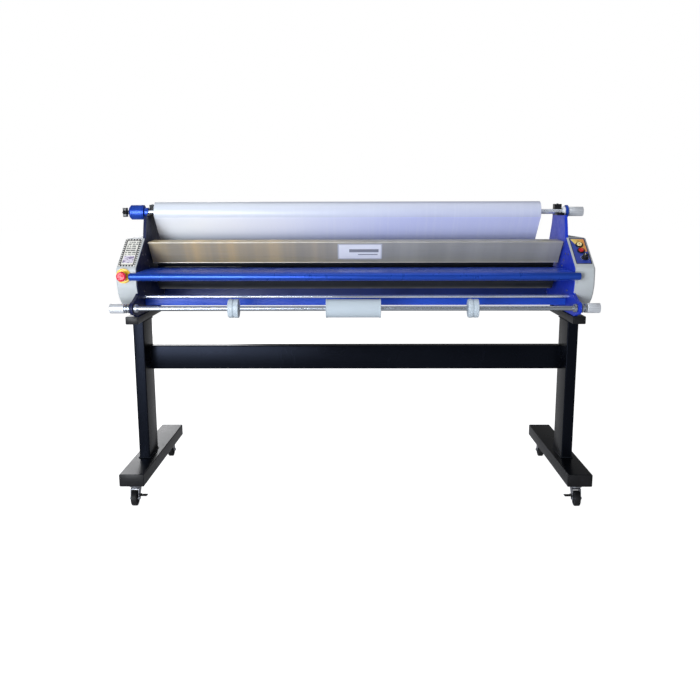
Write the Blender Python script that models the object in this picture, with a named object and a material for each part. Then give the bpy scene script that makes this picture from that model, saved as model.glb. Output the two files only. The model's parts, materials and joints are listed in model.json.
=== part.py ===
"""Cold roll laminator, 1.65 m class, on a caster stand.

Frame: metres, +Z up, the floor at Z = 0, X along the rollers, the operator's side towards -Y.
The origin is on the floor midway between the legs' feet.
"""

import math

import bmesh
import bpy
from mathutils import Matrix, Vector

# ---------------------------------------------------------------- driving dimensions

GAP = 0.0003            # clearance between neighbouring fixed pieces

FOOT_X = 0.906          # stand centre line to foot centre line
FOOT_SIZE = (0.100, 0.732, 0.0515)
FOOT_BOTTOM = 0.095     # overall height of a caster with its plate
TUBE_WALL = 0.0025

LEG_SIZE = (0.045, 0.142)
LEG_Y = -0.0815
RAIL_SIZE = (0.052, 0.390)
RAIL_Y = -0.045
RAIL_BOTTOM = 0.740
RAIL_TOP = 0.772
CROSSBEAM_Y = (-0.055, -0.005)
CROSSBEAM_Z = (0.517, 0.619)

CASTER_Y = 0.306        # swivel axes, fore and aft
CASTER_TRAIL = 0.020
CASTER_PLATE = 0.004
WHEEL_R = 0.032
WHEEL_WIDTH = 0.024
AXLE_R = 0.004

PLATE_IN = 0.885        # inner face of a side plate
PLATE_OUT = 0.897
PLATE_TOP = 1.170
COVER_OUT = 0.970       # outer face of an end cover
COVER_WALL = 0.0025
COVER_LAP = 0.8885       # a cover's front wall laps the plate's edge as far in as this

NIP_Y = 0.088
NIP_Z = 0.9475
ROLLER_R = 0.048
ROLLER_HALF_GAP = 0.0003
ROLLER_CORE_R = 0.030
ROLLER_X = 0.865
JOURNAL_R = 0.0175
JOURNAL_END = 0.9295
LIFT_TRAVEL = 0.016
UPPER_Z = NIP_Z + ROLLER_R + ROLLER_HALF_GAP
LOWER_Z = NIP_Z - ROLLER_R - ROLLER_HALF_GAP

SUPPLY_Y = 0.085
SUPPLY_Z = 1.185
SUPPLY_R = 0.0105
FILM_R = 0.044
FILM_X = (-0.868, 0.799)
WEB_THICKNESS = 0.0006

GUIDE_Y = 0.157
GUIDE_Z = 1.022
GUIDE_R = 0.012
GUIDE_JOURNAL_R = 0.006

IDLER_Y = -0.135
IDLER_Z = 0.8415
IDLER_R = 0.0065

TAKE_UP_Y = -0.275
TAKE_UP_Z = 0.810
TAKE_UP_R = 0.010
CORE_R = 0.0375
NOSE_R = 0.026

TUBE_Y = -0.240
TUBE_Z = 0.9335
TUBE_R = 0.0155
TUBE_X = (-0.9095, 0.9035)

STOP_X = -0.938
STOP_Z = 0.935
BUTTON_X = 0.931
BUTTON_R = 0.011
RUN_DOWN = 0.052        # distances down the right cover's slope
STOP_DOWN = 0.090

MOTOR_Y = -0.060
MOTOR_Z = 0.870
CHAIN_X = (0.9155, 0.9200)
ROLLER_SPROCKET_R = 0.032
MOTOR_SPROCKET_R = 0.018
CHAIN_THICKNESS = 0.004

RUNNING = 0.0008        # radial clearance of a faceted running fit
FINE = 32
COARSE = 24

# Side view of an end cover, as (Y, Z), from the front of its sloping face round the front.
COVER_TOP = 1.078
COVER_SLOPE_TOP = (-0.048, COVER_TOP)
COVER_SLOPE_FOOT = (-0.205, 0.968)
COVER_FRONT_Y = -0.212
COVER_REAR_Y = 0.240
COVER_BOTTOM = 0.806


# ---------------------------------------------------------------- materials

def material(name, colour, roughness, metallic=0.0):
    """A Principled material with one colour."""
    made = bpy.data.materials.new(name)
    made.use_nodes = True
    shader = made.node_tree.nodes["Principled BSDF"]
    shader.inputs["Base Color"].default_value = (*colour, 1.0)
    shader.inputs["Roughness"].default_value = roughness
    shader.inputs["Metallic"].default_value = metallic
    return made


# ---------------------------------------------------------------- mesh helpers

def clear_scene():
    """Removes every object of the open scene."""
    for old in list(bpy.data.objects):
        bpy.data.objects.remove(old, do_unlink=True)


def add_object(name, bm, paint, location=(0.0, 0.0, 0.0), rotation=(0.0, 0.0, 0.0)):
    """Turns a bmesh into a named object with its own material and smooth round faces."""
    bmesh.ops.recalc_face_normals(bm, faces=bm.faces)
    mesh = bpy.data.meshes.new(name)
    bm.to_mesh(mesh)
    bm.free()
    mesh.shade_smooth()
    mesh.set_sharp_from_angle(angle=math.radians(35))
    mesh.materials.append(paint)
    made = bpy.data.objects.new(name, mesh)
    made.location = location
    made.rotation_euler = rotation
    bpy.context.scene.collection.objects.link(made)
    return made


def box_mesh(low, high):
    """A box between two corners."""
    bm = bmesh.new()
    bmesh.ops.create_cube(bm, size=1.0)
    size = Vector(high) - Vector(low)
    centre = (Vector(high) + Vector(low)) / 2
    bmesh.ops.scale(bm, vec=size, verts=bm.verts)
    bmesh.ops.translate(bm, vec=centre, verts=bm.verts)
    return bm


def prism_mesh(outline, x_from, x_to):
    """A side outline of (Y, Z) points, extruded along X."""
    bm = bmesh.new()
    face = bm.faces.new([bm.verts.new((x_from, y, z)) for y, z in outline])
    swept = bmesh.ops.extrude_face_region(bm, geom=[face])
    moved = [part for part in swept["geom"] if isinstance(part, bmesh.types.BMVert)]
    bmesh.ops.translate(bm, vec=(x_to - x_from, 0.0, 0.0), verts=moved)
    return bm


def turned_mesh(profile, steps=FINE, closed=False):
    """A profile of (X, radius) points, turned round the X axis; open ends become flat discs."""
    bm = bmesh.new()
    verts = [bm.verts.new((x, 0.0, r)) for x, r in profile]
    edges = [bm.edges.new(pair) for pair in zip(verts, verts[1:])]
    if closed:
        edges.append(bm.edges.new((verts[-1], verts[0])))
    bmesh.ops.spin(
        bm, geom=verts + edges, cent=(0, 0, 0), axis=(1, 0, 0),
        angle=2 * math.pi, steps=steps, use_merge=True,
    )
    bmesh.ops.remove_doubles(bm, verts=bm.verts, dist=1e-6)
    rims = [edge for edge in bm.edges if edge.is_boundary]
    bmesh.ops.holes_fill(bm, edges=rims, sides=0)
    return bm


def arc(centre, radius, start, end, steps):
    """Points on an arc round (Y, Z), its angles in degrees from +Y towards +Z."""
    angles = [math.radians(start + (end - start) * i / steps) for i in range(steps + 1)]
    return [(centre[0] + radius * math.cos(a), centre[1] + radius * math.sin(a)) for a in angles]


def offset_points(points, distance, closed=False):
    """Moves each point of an outline to its left by a distance, with mitred corners."""
    moved = []
    count = len(points)
    for i, point in enumerate(points):
        here = Vector(point)
        before = Vector(points[i - 1]) if closed or i > 0 else None
        after = Vector(points[(i + 1) % count]) if closed or i < count - 1 else None
        sides = [(here - before).normalized()] if before is not None else []
        if after is not None:
            sides.append((after - here).normalized())
        normals = [Vector((-side.y, side.x)) for side in sides]
        middle = sum(normals, Vector((0.0, 0.0))).normalized()
        moved.append(tuple(here + middle * (distance / middle.dot(normals[0]))))
    return moved


def sheet_outline(points, thickness):
    """The closed side view of a folded sheet whose right-hand face follows the points."""
    return points + offset_points(points, thickness)[::-1]


def bevel(piece, width, segments=1):
    """Rounds a piece's sharp edges."""
    rounded = piece.modifiers.new("edge_round", "BEVEL")
    rounded.width = width
    rounded.segments = segments
    rounded.limit_method = "ANGLE"
    rounded.angle_limit = math.radians(40)


def combine(piece, tool, operation):
    """Cuts a piece with a tool, or joins the tool to it, and leaves the tool as a guide."""
    step = piece.modifiers.new(tool.name, "BOOLEAN")
    step.operation = operation
    step.solver = "EXACT"
    step.object = tool
    tool.hide_render = True
    tool.display_type = "WIRE"


def cutter(name, bm, location=(0.0, 0.0, 0.0)):
    """A guide object used only by a Boolean."""
    return add_object(name, bm, GUIDE, location)


def box(name, low, high, paint, edge=0.0015):
    """A box piece with slightly rounded edges."""
    made = add_object(name, box_mesh(low, high), paint)
    if edge:
        bevel(made, edge)
    return made


def mirror_x(side, low, high):
    """A box's corners on the +X side, or mirrored to the -X side."""
    if side > 0:
        return low, high
    return (-high[0], low[1], low[2]), (-low[0], high[1], high[2])


def turned(name, profile, centre, paint, steps=FINE, closed=False):
    """A turned piece whose origin is on its own axis."""
    return add_object(name, turned_mesh(profile, steps, closed), paint, centre)


def fluted_mesh(x_from, x_to, radius, lobes, depth, steps_per_lobe, bore_r, bore_end):
    """A grip with rounded flutes and a blind bore that opens at x_from."""
    count = lobes * steps_per_lobe
    ring = []
    for i in range(count):
        angle = 2 * math.pi * i / count
        r = radius - depth * (0.5 - 0.5 * math.cos(lobes * angle))
        ring.append((r * math.cos(angle), r * math.sin(angle)))
    bm = prism_mesh(ring, x_from, x_to)
    return bm, turned_mesh([(x_from - (bore_end - x_from), bore_r), (bore_end, bore_r)], COARSE)


GUIDE = material("guide", (0.5, 0.5, 0.5), 0.5)


# ---------------------------------------------------------------- stand

def tube(name, low, high, along, paint):
    """A rectangular tube, open at both ends along one axis."""
    made = box(name, low, high, paint, edge=0.0015)
    inner_low = [low[i] + TUBE_WALL if i != along else low[i] - 0.01 for i in range(3)]
    inner_high = [high[i] - TUBE_WALL if i != along else high[i] + 0.01 for i in range(3)]
    combine(made, cutter(name + "_hollow", box_mesh(inner_low, inner_high)), "DIFFERENCE")
    return made


def build_stand():
    """Two feet, two legs, two top rails and the crossbeam."""
    black = material("black_powder_coat", (0.012, 0.013, 0.016), 0.35, 0.2)
    foot_top = FOOT_BOTTOM + FOOT_SIZE[2]
    for side, word in ((-1, "left"), (1, "right")):
        x = side * FOOT_X
        half_w, half_l = FOOT_SIZE[0] / 2, FOOT_SIZE[1] / 2
        tube(word + "_foot", (x - half_w, -half_l, FOOT_BOTTOM), (x + half_w, half_l, foot_top), 1, black)
        leg_x, leg_y = LEG_SIZE[0] / 2, LEG_SIZE[1] / 2
        tube(
            word + "_leg",
            (x - leg_x, LEG_Y - leg_y, foot_top + GAP),
            (x + leg_x, LEG_Y + leg_y, RAIL_BOTTOM - GAP),
            2, black,
        )
        rail_x, rail_y = RAIL_SIZE[0] / 2, RAIL_SIZE[1] / 2
        tube(
            word + "_top_rail",
            (x - rail_x, RAIL_Y - rail_y, RAIL_BOTTOM),
            (x + rail_x, RAIL_Y + rail_y, RAIL_TOP),
            1, black,
        )
    reach = FOOT_X - LEG_SIZE[0] / 2 - GAP
    tube(
        "crossbeam",
        (-reach, CROSSBEAM_Y[0], CROSSBEAM_Z[0]), (reach, CROSSBEAM_Y[1], CROSSBEAM_Z[1]),
        0, black,
    )


# ---------------------------------------------------------------- casters

def build_caster(x, front, word):
    """One swivel caster: a fork with its swivel head and axle, and a wheel."""
    steel = material("zinc_" + word, (0.55, 0.56, 0.58), 0.3, 0.9)
    rubber = material("tread_" + word, (0.02, 0.02, 0.022), 0.6)
    y = CASTER_Y * (-1 if front else 1)
    trail = CASTER_TRAIL * (-1 if front else 1)
    head_top = FOOT_BOTTOM - CASTER_PLATE - 0.001
    head_low = 2 * WHEEL_R + 0.004
    arm_in = WHEEL_WIDTH / 2 + 0.0025
    arm_out = arm_in + 0.003
    side_view = [(trail - 0.010, WHEEL_R - 0.006), (trail, WHEEL_R - 0.010), (trail + 0.010, WHEEL_R - 0.006)]
    side_view += [(0.022, head_low), (0.022, head_low + 0.003), (-0.022, head_low + 0.003), (-0.022, head_low)]
    bridge = box_mesh((-arm_out, -0.022, head_low), (arm_out, 0.022, head_low + 0.003))
    fork = add_object("caster_fork_" + word, bridge, steel, (x, y, 0.0))
    for side in (-1, 1):
        arm = prism_mesh(side_view, side * arm_in, side * arm_out)
        combine(fork, cutter("arm_%s_%d" % (word, side), arm, (x, y, 0.0)), "UNION")
    head = turned_mesh([(head_low + 0.001, 0.019), (head_low + 0.010, 0.026), (head_top, 0.026)], COARSE)
    bmesh.ops.rotate(head, verts=head.verts, cent=(0, 0, 0), matrix=Matrix.Rotation(-math.pi / 2, 3, "Y"))
    combine(fork, cutter("head_" + word, head, (x, y, 0.0)), "UNION")
    axle = turned_mesh([(-arm_out - 0.003, AXLE_R), (arm_out + 0.003, AXLE_R)], 16)
    combine(fork, cutter("axle_" + word, axle, (x, y + trail, WHEEL_R)), "UNION")

    half = WHEEL_WIDTH / 2
    bore = AXLE_R + RUNNING
    rim = [(-half, bore), (-half, 0.022), (-half + 0.002, 0.024), (-half, 0.028), (-half + 0.004, WHEEL_R)]
    profile = rim + [(-px, r) for px, r in reversed(rim)]
    turned("caster_wheel_" + word, profile, (x, y + trail, WHEEL_R), rubber, COARSE, closed=True)


def build_brake(x, word):
    """The brake pedal on a front caster's inner arm, hinged along Y."""
    zinc = material("pedal_" + word, (0.50, 0.51, 0.54), 0.35, 0.8)
    inward = -1 if x > 0 else 1
    pivot_x = x + inward * (WHEEL_WIDTH / 2 + 0.0025 + 0.003 + 0.005)
    y = -CASTER_Y - CASTER_TRAIL
    reach = inward * 0.028
    low = (min(0.0, reach), -0.011, -0.0015)
    high = (max(0.0, reach), 0.011, 0.0015)
    pedal = add_object("brake_pedal_" + word, box_mesh(low, high), zinc, (pivot_x, y, WHEEL_R + 0.012))
    barrel = turned_mesh([(-0.012, 0.004), (0.012, 0.004)], 16)
    bmesh.ops.rotate(barrel, verts=barrel.verts, cent=(0, 0, 0), matrix=Matrix.Rotation(math.pi / 2, 3, "Z"))
    combine(pedal, cutter("barrel_" + word, barrel, (pivot_x, y, WHEEL_R + 0.012)), "UNION")


def build_casters():
    """Four casters; the front two carry brake pedals."""
    for x, side in ((-FOOT_X, "left"), (FOOT_X, "right")):
        build_caster(x, True, "front_" + side)
        build_caster(x, False, "rear_" + side)
        build_brake(x, "front_" + side)


# ---------------------------------------------------------------- side plates and covers

def plate_outline():
    """Side view of a plate: the nose that holds the lower shaft, the front edge and the arm."""
    base = RAIL_TOP + GAP
    nose = arc((TAKE_UP_Y, TAKE_UP_Z), NOSE_R, -70, -285, 12)
    front = [(-0.204, 0.8555), (-0.1965, 0.8609), (-0.2088, 0.8955), (-0.2088, 0.9590), (-0.2025, 0.9650)]
    slope = [(-0.0480, 1.0725), (-0.0425, 1.0785), (-0.028, 1.128), (-0.012, PLATE_TOP)]
    rear = [(0.195, PLATE_TOP), (0.205, 1.130), (0.240, 1.060), (0.262, 1.000), (0.262, 0.835)]
    foot = [(0.240, 0.806), (0.150, 0.795), (0.150, base)]
    return [(-0.235, base)] + nose + front + slope + rear + foot


def hole_cutter(name, side, y, z, radius, tall=0.0):
    """A round cutter through a side plate, or an upright slot of the given extra height."""
    start, end = side * (PLATE_IN - 0.01), side * (PLATE_OUT + 0.01)
    if tall:
        shape = arc((y, z), radius, 180, 360, 12) + arc((y, z + tall), radius, 0, 180, 12)
        return cutter(name, prism_mesh(shape, start, end))
    return cutter(name, turned_mesh([(start, radius), (end, radius)], COARSE), (0.0, y, z))


def build_side_plates():
    """Both side plates with their shaft holes and the upper roller's slot."""
    blue = material("royal_blue_paint", (0.03, 0.08, 0.50), 0.30)
    for side, word in ((-1, "left"), (1, "right")):
        plate = add_object(
            word + "_side_plate",
            prism_mesh(plate_outline(), side * PLATE_IN, side * PLATE_OUT),
            blue,
        )
        holes = [
            (TAKE_UP_Y, TAKE_UP_Z, TAKE_UP_R + RUNNING, 0.0),
            (IDLER_Y, IDLER_Z, IDLER_R + RUNNING, 0.0),
            (NIP_Y, LOWER_Z, JOURNAL_R + 0.002, 0.0),
            (NIP_Y, UPPER_Z, JOURNAL_R + 0.002, LIFT_TRAVEL + 0.002),
            (GUIDE_Y, GUIDE_Z, GUIDE_JOURNAL_R + RUNNING, 0.0),
        ]
        for i, (y, z, radius, tall) in enumerate(holes):
            combine(plate, hole_cutter("%s_hole_%d" % (word, i), side, y, z, radius, tall), "DIFFERENCE")


def cover_outline():
    """Side view of an end cover."""
    front = [COVER_SLOPE_TOP, COVER_SLOPE_FOOT, (COVER_FRONT_Y, 0.961), (COVER_FRONT_Y, 0.895)]
    low = [(-0.200, 0.860), (-0.182, 0.832), (-0.150, COVER_BOTTOM)]
    rear = [(0.205, COVER_BOTTOM), (COVER_REAR_Y, 0.835), (COVER_REAR_Y, 1.045), (0.205, COVER_TOP)]
    return front + low + rear


def panel_frame():
    """The middle of the right cover's sloping face and its outward normal, as (Y, Z)."""
    top, foot = Vector(COVER_SLOPE_TOP), Vector(COVER_SLOPE_FOOT)
    along = (foot - top).normalized()
    return top, along, Vector((along.y, -along.x))


def panel_piece(name, x, down, profile, paint, steps=COARSE):
    """A turned control at a distance down the sloping face, its axis along the outward normal."""
    top, along, normal = panel_frame()
    place = top + along * down
    tilt = math.atan2(normal.y, -normal.x)
    bm = turned_mesh(profile, steps)
    bmesh.ops.rotate(bm, verts=bm.verts, cent=(0, 0, 0), matrix=Matrix.Rotation(-math.pi / 2, 3, "Z"))
    bmesh.ops.rotate(bm, verts=bm.verts, cent=(0, 0, 0), matrix=Matrix.Rotation(-tilt, 3, "X"))
    return add_object(name, bm, paint, (x, place.x, place.y))


def stop_mesh(profile, closed=False):
    """A profile of (depth, radius) points, turned about the emergency stop's forward axis."""
    bm = turned_mesh([(depth - COVER_FRONT_Y, r) for depth, r in profile], FINE, closed)
    bmesh.ops.rotate(bm, verts=bm.verts, cent=(0, 0, 0), matrix=Matrix.Rotation(-math.pi / 2, 3, "Z"))
    return bm


def build_covers():
    """Both end covers: thin shells open towards the side plates, whose front edges they lap."""
    cream = material("cream_paint", (0.72, 0.72, 0.68), 0.40)
    start = PLATE_OUT + GAP
    behind = [(-0.0537, 1.0862), (-0.0423, 1.0698), (-0.150, 0.950), (-0.190, 0.8617), (-0.230, 0.8617)]
    behind += [(-0.230, 0.780), (0.260, 0.780), (0.260, 1.100)]
    for side, word in ((-1, "left"), (1, "right")):
        outline = cover_outline()
        rim = COVER_LAP - 0.006
        cover = add_object(word + "_end_cover", prism_mesh(outline, side * rim, side * COVER_OUT), cream)
        bevel(cover, 0.004, 2)
        inner = offset_points(outline, COVER_WALL, closed=True)
        hollow = prism_mesh(inner, side * (rim - 0.01), side * (COVER_OUT - COVER_WALL))
        combine(cover, cutter(word + "_cover_hollow", hollow), "DIFFERENCE")
        square = [(-0.30, 0.70), (0.30, 0.70), (0.30, 1.20), (-0.30, 1.20)]
        open_end = prism_mesh(square, side * (rim - 0.01), side * COVER_LAP)
        combine(cover, cutter(word + "_cover_open_end", open_end), "DIFFERENCE")
        plain = prism_mesh(behind, side * (rim - 0.01), side * start)
        combine(cover, cutter(word + "_cover_lap_end", plain), "DIFFERENCE")
        if side < 0:
            hole = cutter("stop_hole", stop_mesh([(-0.02, 0.0115), (0.02, 0.0115)]), (STOP_X, 0.0, STOP_Z))
            combine(cover, hole, "DIFFERENCE")
        else:
            for word, down in (("run", RUN_DOWN), ("stop", STOP_DOWN)):
                bore = [(-0.01, BUTTON_R + 0.0005), (0.01, BUTTON_R + 0.0005)]
                hole = panel_piece(word + "_button_hole", BUTTON_X, down, bore, GUIDE)
                combine(cover, hole, "DIFFERENCE")


# ---------------------------------------------------------------- sheet parts between the plates

def build_sheets():
    """The stainless front cover, the feed table, the exit table and the lower beam."""
    stainless = material("brushed_stainless", (0.52, 0.51, 0.48), 0.28, 1.0)
    blue = material("table_blue", (0.06, 0.13, 0.56), 0.25)
    front = [(0.075, 1.0665), (-0.040, 1.0620), (0.036, 0.9700), (0.0405, 0.9712)]
    add_object("front_cover", prism_mesh(sheet_outline(front, 0.0015), -0.878, 0.878), stainless)

    reach = PLATE_IN - 0.0015
    table = [(0.018, 0.935), (0.022, 0.949), (-0.222, 0.949), (-0.222, 0.915), (-0.205, 0.915)]
    add_object("feed_table", prism_mesh(sheet_outline(table, 0.0025), -reach, reach), blue)

    rear = [(0.2335, 0.790), (0.250, 0.790), (0.250, 0.940), (0.148, 0.946), (0.144, 0.934)]
    add_object("exit_table", prism_mesh(sheet_outline(rear, 0.0025), -reach, reach), blue)

    beam_blue = material("beam_blue", (0.05, 0.10, 0.52), 0.30)
    tube("lower_front_beam", (-reach, -0.100, 0.800), (reach, -0.060, 0.831), 0, beam_blue)

    tube_blue = material("anodised_blue", (0.04, 0.14, 0.60), 0.22, 0.6)
    ends = []
    for x, way in ((TUBE_X[0], 1), (TUBE_X[1], -1)):
        cap = [(x, 0.010), (x + way * 0.0015, 0.0132), (x + way * 0.005, TUBE_R)]
        ends.append(cap)
    turned("front_tube", ends[0] + ends[1][::-1], (0.0, TUBE_Y, TUBE_Z), tube_blue)


# ---------------------------------------------------------------- rollers, bearings and drive

def build_rollers():
    """The two rubber rollers on their steel cores, and both idler rods."""
    rubber = material("silicone_rubber", (0.03, 0.03, 0.034), 0.45)
    steel = material("ground_steel", (0.50, 0.50, 0.51), 0.25, 1.0)
    chrome = material("chrome_rod", (0.75, 0.75, 0.76), 0.12, 1.0)
    inner = ROLLER_CORE_R + GAP * 2
    sleeve = [(-ROLLER_X, inner), (-ROLLER_X, ROLLER_R), (ROLLER_X, ROLLER_R), (ROLLER_X, inner)]
    core = [(-JOURNAL_END, JOURNAL_R), (-ROLLER_X - 0.004, JOURNAL_R), (-ROLLER_X - 0.004, ROLLER_CORE_R)]
    core += [(-x, r) for x, r in reversed(core)]
    sprocket = [
        (CHAIN_X[0], JOURNAL_R), (CHAIN_X[0], ROLLER_SPROCKET_R),
        (CHAIN_X[1], ROLLER_SPROCKET_R), (CHAIN_X[1], JOURNAL_R),
    ]
    for word, z, extra in (("upper", UPPER_Z, []), ("lower", LOWER_Z, sprocket)):
        turned(word + "_roller", sleeve, (0.0, NIP_Y, z), rubber, FINE, closed=True)
        turned(word + "_roller_core", core[:-1] + extra + core[-1:], (0.0, NIP_Y, z), steel, COARSE)

    reach = PLATE_OUT - 0.001
    turned("idler_rod", [(-reach, IDLER_R), (reach, IDLER_R)], (0.0, IDLER_Y, IDLER_Z), chrome, COARSE)
    guide = [(-reach, GUIDE_JOURNAL_R), (-PLATE_IN + 0.002, GUIDE_JOURNAL_R), (-PLATE_IN + 0.002, GUIDE_R)]
    guide += [(-x, r) for x, r in reversed(guide)]
    turned("film_guide_rod", guide, (0.0, GUIDE_Y, GUIDE_Z), chrome, COARSE)


def build_bearings():
    """Four bearing blocks on the outside of the plates; the upper pair slides."""
    black = material("bearing_black", (0.03, 0.03, 0.03), 0.5)
    start = PLATE_OUT + GAP
    end = CHAIN_X[0] - 0.002
    for side, word in ((-1, "left"), (1, "right")):
        for level, z in (("upper", UPPER_Z), ("lower", LOWER_Z)):
            low, high = mirror_x(side, (start, NIP_Y - 0.034, z - 0.034), (end, NIP_Y + 0.034, z + 0.034))
            block = box("%s_bearing_%s" % (level, word), low, high, black, edge=0.002)
            bore = turned_mesh([(low[0] - 0.01, JOURNAL_R + RUNNING), (high[0] + 0.01, JOURNAL_R + RUNNING)], COARSE)
            combine(block, cutter("%s_bore_%s" % (level, word), bore, (0.0, NIP_Y, z)), "DIFFERENCE")


def belt_outline(centre_a, radius_a, centre_b, radius_b):
    """An open belt's side view round two wheels, the first one in front of the second."""
    a, b = Vector(centre_a), Vector(centre_b)
    span = b - a
    heading = math.degrees(math.atan2(span.y, span.x))
    lean = math.degrees(math.acos((radius_a - radius_b) / span.length))
    front = arc(centre_a, radius_a, heading + lean, heading + 360 - lean, 12)
    rear = arc(centre_b, radius_b, heading - lean, heading + lean, 12)
    return front + rear


def build_drive():
    """The gear motor in the right cover, its sprocket and the chain to the lower roller."""
    grey = material("motor_grey", (0.25, 0.26, 0.27), 0.45, 0.4)
    steel = material("sprocket_steel", (0.35, 0.35, 0.36), 0.35, 1.0)
    gearbox = box_mesh((0.9240, -0.100, 0.838), (0.9640, -0.030, 0.902))
    motor = add_object("gear_motor", gearbox, grey)
    bracket = box_mesh((PLATE_OUT + GAP, -0.112, 0.842), (0.9300, -0.094, 0.898))
    combine(motor, cutter("motor_bracket", bracket), "UNION")
    can = turned_mesh([(-0.001, 0.019), (0.082, 0.019)], COARSE)
    bmesh.ops.rotate(can, verts=can.verts, cent=(0, 0, 0), matrix=Matrix.Rotation(math.pi / 2, 3, "Z"))
    combine(motor, cutter("motor_can", can, (0.944, -0.031, MOTOR_Z - 0.008)), "UNION")

    stub = [(CHAIN_X[0], MOTOR_SPROCKET_R), (CHAIN_X[1], MOTOR_SPROCKET_R), (CHAIN_X[1], 0.006), (0.9235, 0.006)]
    turned("motor_sprocket", stub, (0.0, MOTOR_Y, MOTOR_Z), steel, COARSE)

    inner_a, inner_b = MOTOR_SPROCKET_R + 0.0006, ROLLER_SPROCKET_R + 0.0006
    front, rear = (MOTOR_Y, MOTOR_Z), (NIP_Y, LOWER_Z)
    outer = belt_outline(front, inner_a + CHAIN_THICKNESS, rear, inner_b + CHAIN_THICKNESS)
    chain = add_object("drive_chain", prism_mesh(outer, CHAIN_X[0] + 0.0003, CHAIN_X[1] - 0.0003), steel)
    inner = belt_outline(front, inner_a, rear, inner_b)
    combine(chain, cutter("chain_inside", prism_mesh(inner, CHAIN_X[0] - 0.01, CHAIN_X[1] + 0.01)), "DIFFERENCE")


# ---------------------------------------------------------------- film supply

def web_outline():
    """Side view of the film from the roll's front down to and round the guide rod."""
    roll, rod = Vector((SUPPLY_Y, SUPPLY_Z)), Vector((GUIDE_Y, GUIDE_Z))
    clear = WEB_THICKNESS / 2 + GAP
    roll_r, rod_r = FILM_R + clear, GUIDE_R + clear
    span = rod - roll
    heading = math.atan2(span.y, span.x) + math.asin((roll_r + rod_r) / span.length)
    leaving = math.degrees(heading) - 90
    path = arc(tuple(roll), roll_r, leaving - 12, leaving, 2)
    path += arc(tuple(rod), rod_r, leaving + 180, leaving + 40, 8)
    half = WEB_THICKNESS / 2
    return offset_points(path, half) + offset_points(path, -half)[::-1]


def build_supply():
    """The supply shaft in its two saddles, the film, the tension brake and the right-hand grip."""
    black = material("black_nylon", (0.015, 0.015, 0.015), 0.45)
    film = material("film_white", (0.66, 0.68, 0.85), 0.30)
    chrome = material("supply_chrome", (0.60, 0.60, 0.62), 0.18, 1.0)
    blue = material("hub_blue", (0.05, 0.14, 0.62), 0.22, 0.6)
    alloy = material("turned_alloy", (0.72, 0.73, 0.75), 0.28, 1.0)
    centre = (0.0, SUPPLY_Y, SUPPLY_Z)
    turned("supply_shaft", [(-0.950, SUPPLY_R), (0.955, SUPPLY_R)], centre, chrome, COARSE)

    bore = SUPPLY_R + RUNNING
    roll = [(FILM_X[0], bore), (FILM_X[0], FILM_R), (FILM_X[1], FILM_R), (FILM_X[1], bore)]
    turned("film_roll", roll, centre, film, FINE, closed=True)
    add_object("film_web", prism_mesh(web_outline(), FILM_X[0] + 0.001, FILM_X[1] - 0.001), film)

    for side, word, inner in ((-1, "left", 0.879), (1, "right", 0.867)):
        low, high = mirror_x(side, (inner, 0.045, PLATE_TOP + GAP), (0.899, 0.125, 1.217))
        saddle = box(word + "_shaft_saddle", low, high, black, edge=0.002)
        lip = SUPPLY_Z - bore / 2
        slot = arc((SUPPLY_Y, SUPPLY_Z), bore, 210, 360, 10) + [(SUPPLY_Y + bore, 1.25), (0.020, 1.25), (0.020, lip)]
        notch = prism_mesh(slot, low[0] - 0.01, high[0] + 0.01)
        combine(saddle, cutter(word + "_saddle_slot", notch), "DIFFERENCE")

    hub = [(-0.9805, bore), (-0.9805, 0.024), (-0.973, 0.0315), (-0.917, 0.0315), (-0.917, 0.020)]
    hub += [(-0.8995, 0.020), (-0.8995, bore)]
    turned("tension_hub", hub, centre, blue, FINE, closed=True)

    count, lobes = 60, 6
    ring = []
    for i in range(count):
        angle = 2 * math.pi * i / count
        r = 0.0225 - 0.0055 * (0.5 - 0.5 * math.cos(lobes * angle)) ** 2
        ring.append((r * math.cos(angle), r * math.sin(angle)))
    star = add_object("tension_knob", prism_mesh(ring, -1.010, -0.993), black, centre)
    stem = turned_mesh([(-0.966, 0.005), (-0.990, 0.005), (-0.990, 0.010), (-0.995, 0.010)], 16)
    combine(star, cutter("tension_stem", stem, centre), "UNION")

    flange = [(0.9100, bore), (0.9100, 0.0265), (0.9215, 0.0275), (0.9215, bore)]
    turned("supply_flange", flange, centre, blue, FINE, closed=True)
    grip, socket = fluted_mesh(0.9230, 0.9880, 0.020, 16, 0.0014, 4, bore, 0.956)
    knob = add_object("supply_knob", grip, alloy, centre)
    combine(knob, cutter("supply_knob_bore", socket, centre), "DIFFERENCE")


# ---------------------------------------------------------------- lower front shaft

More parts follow.
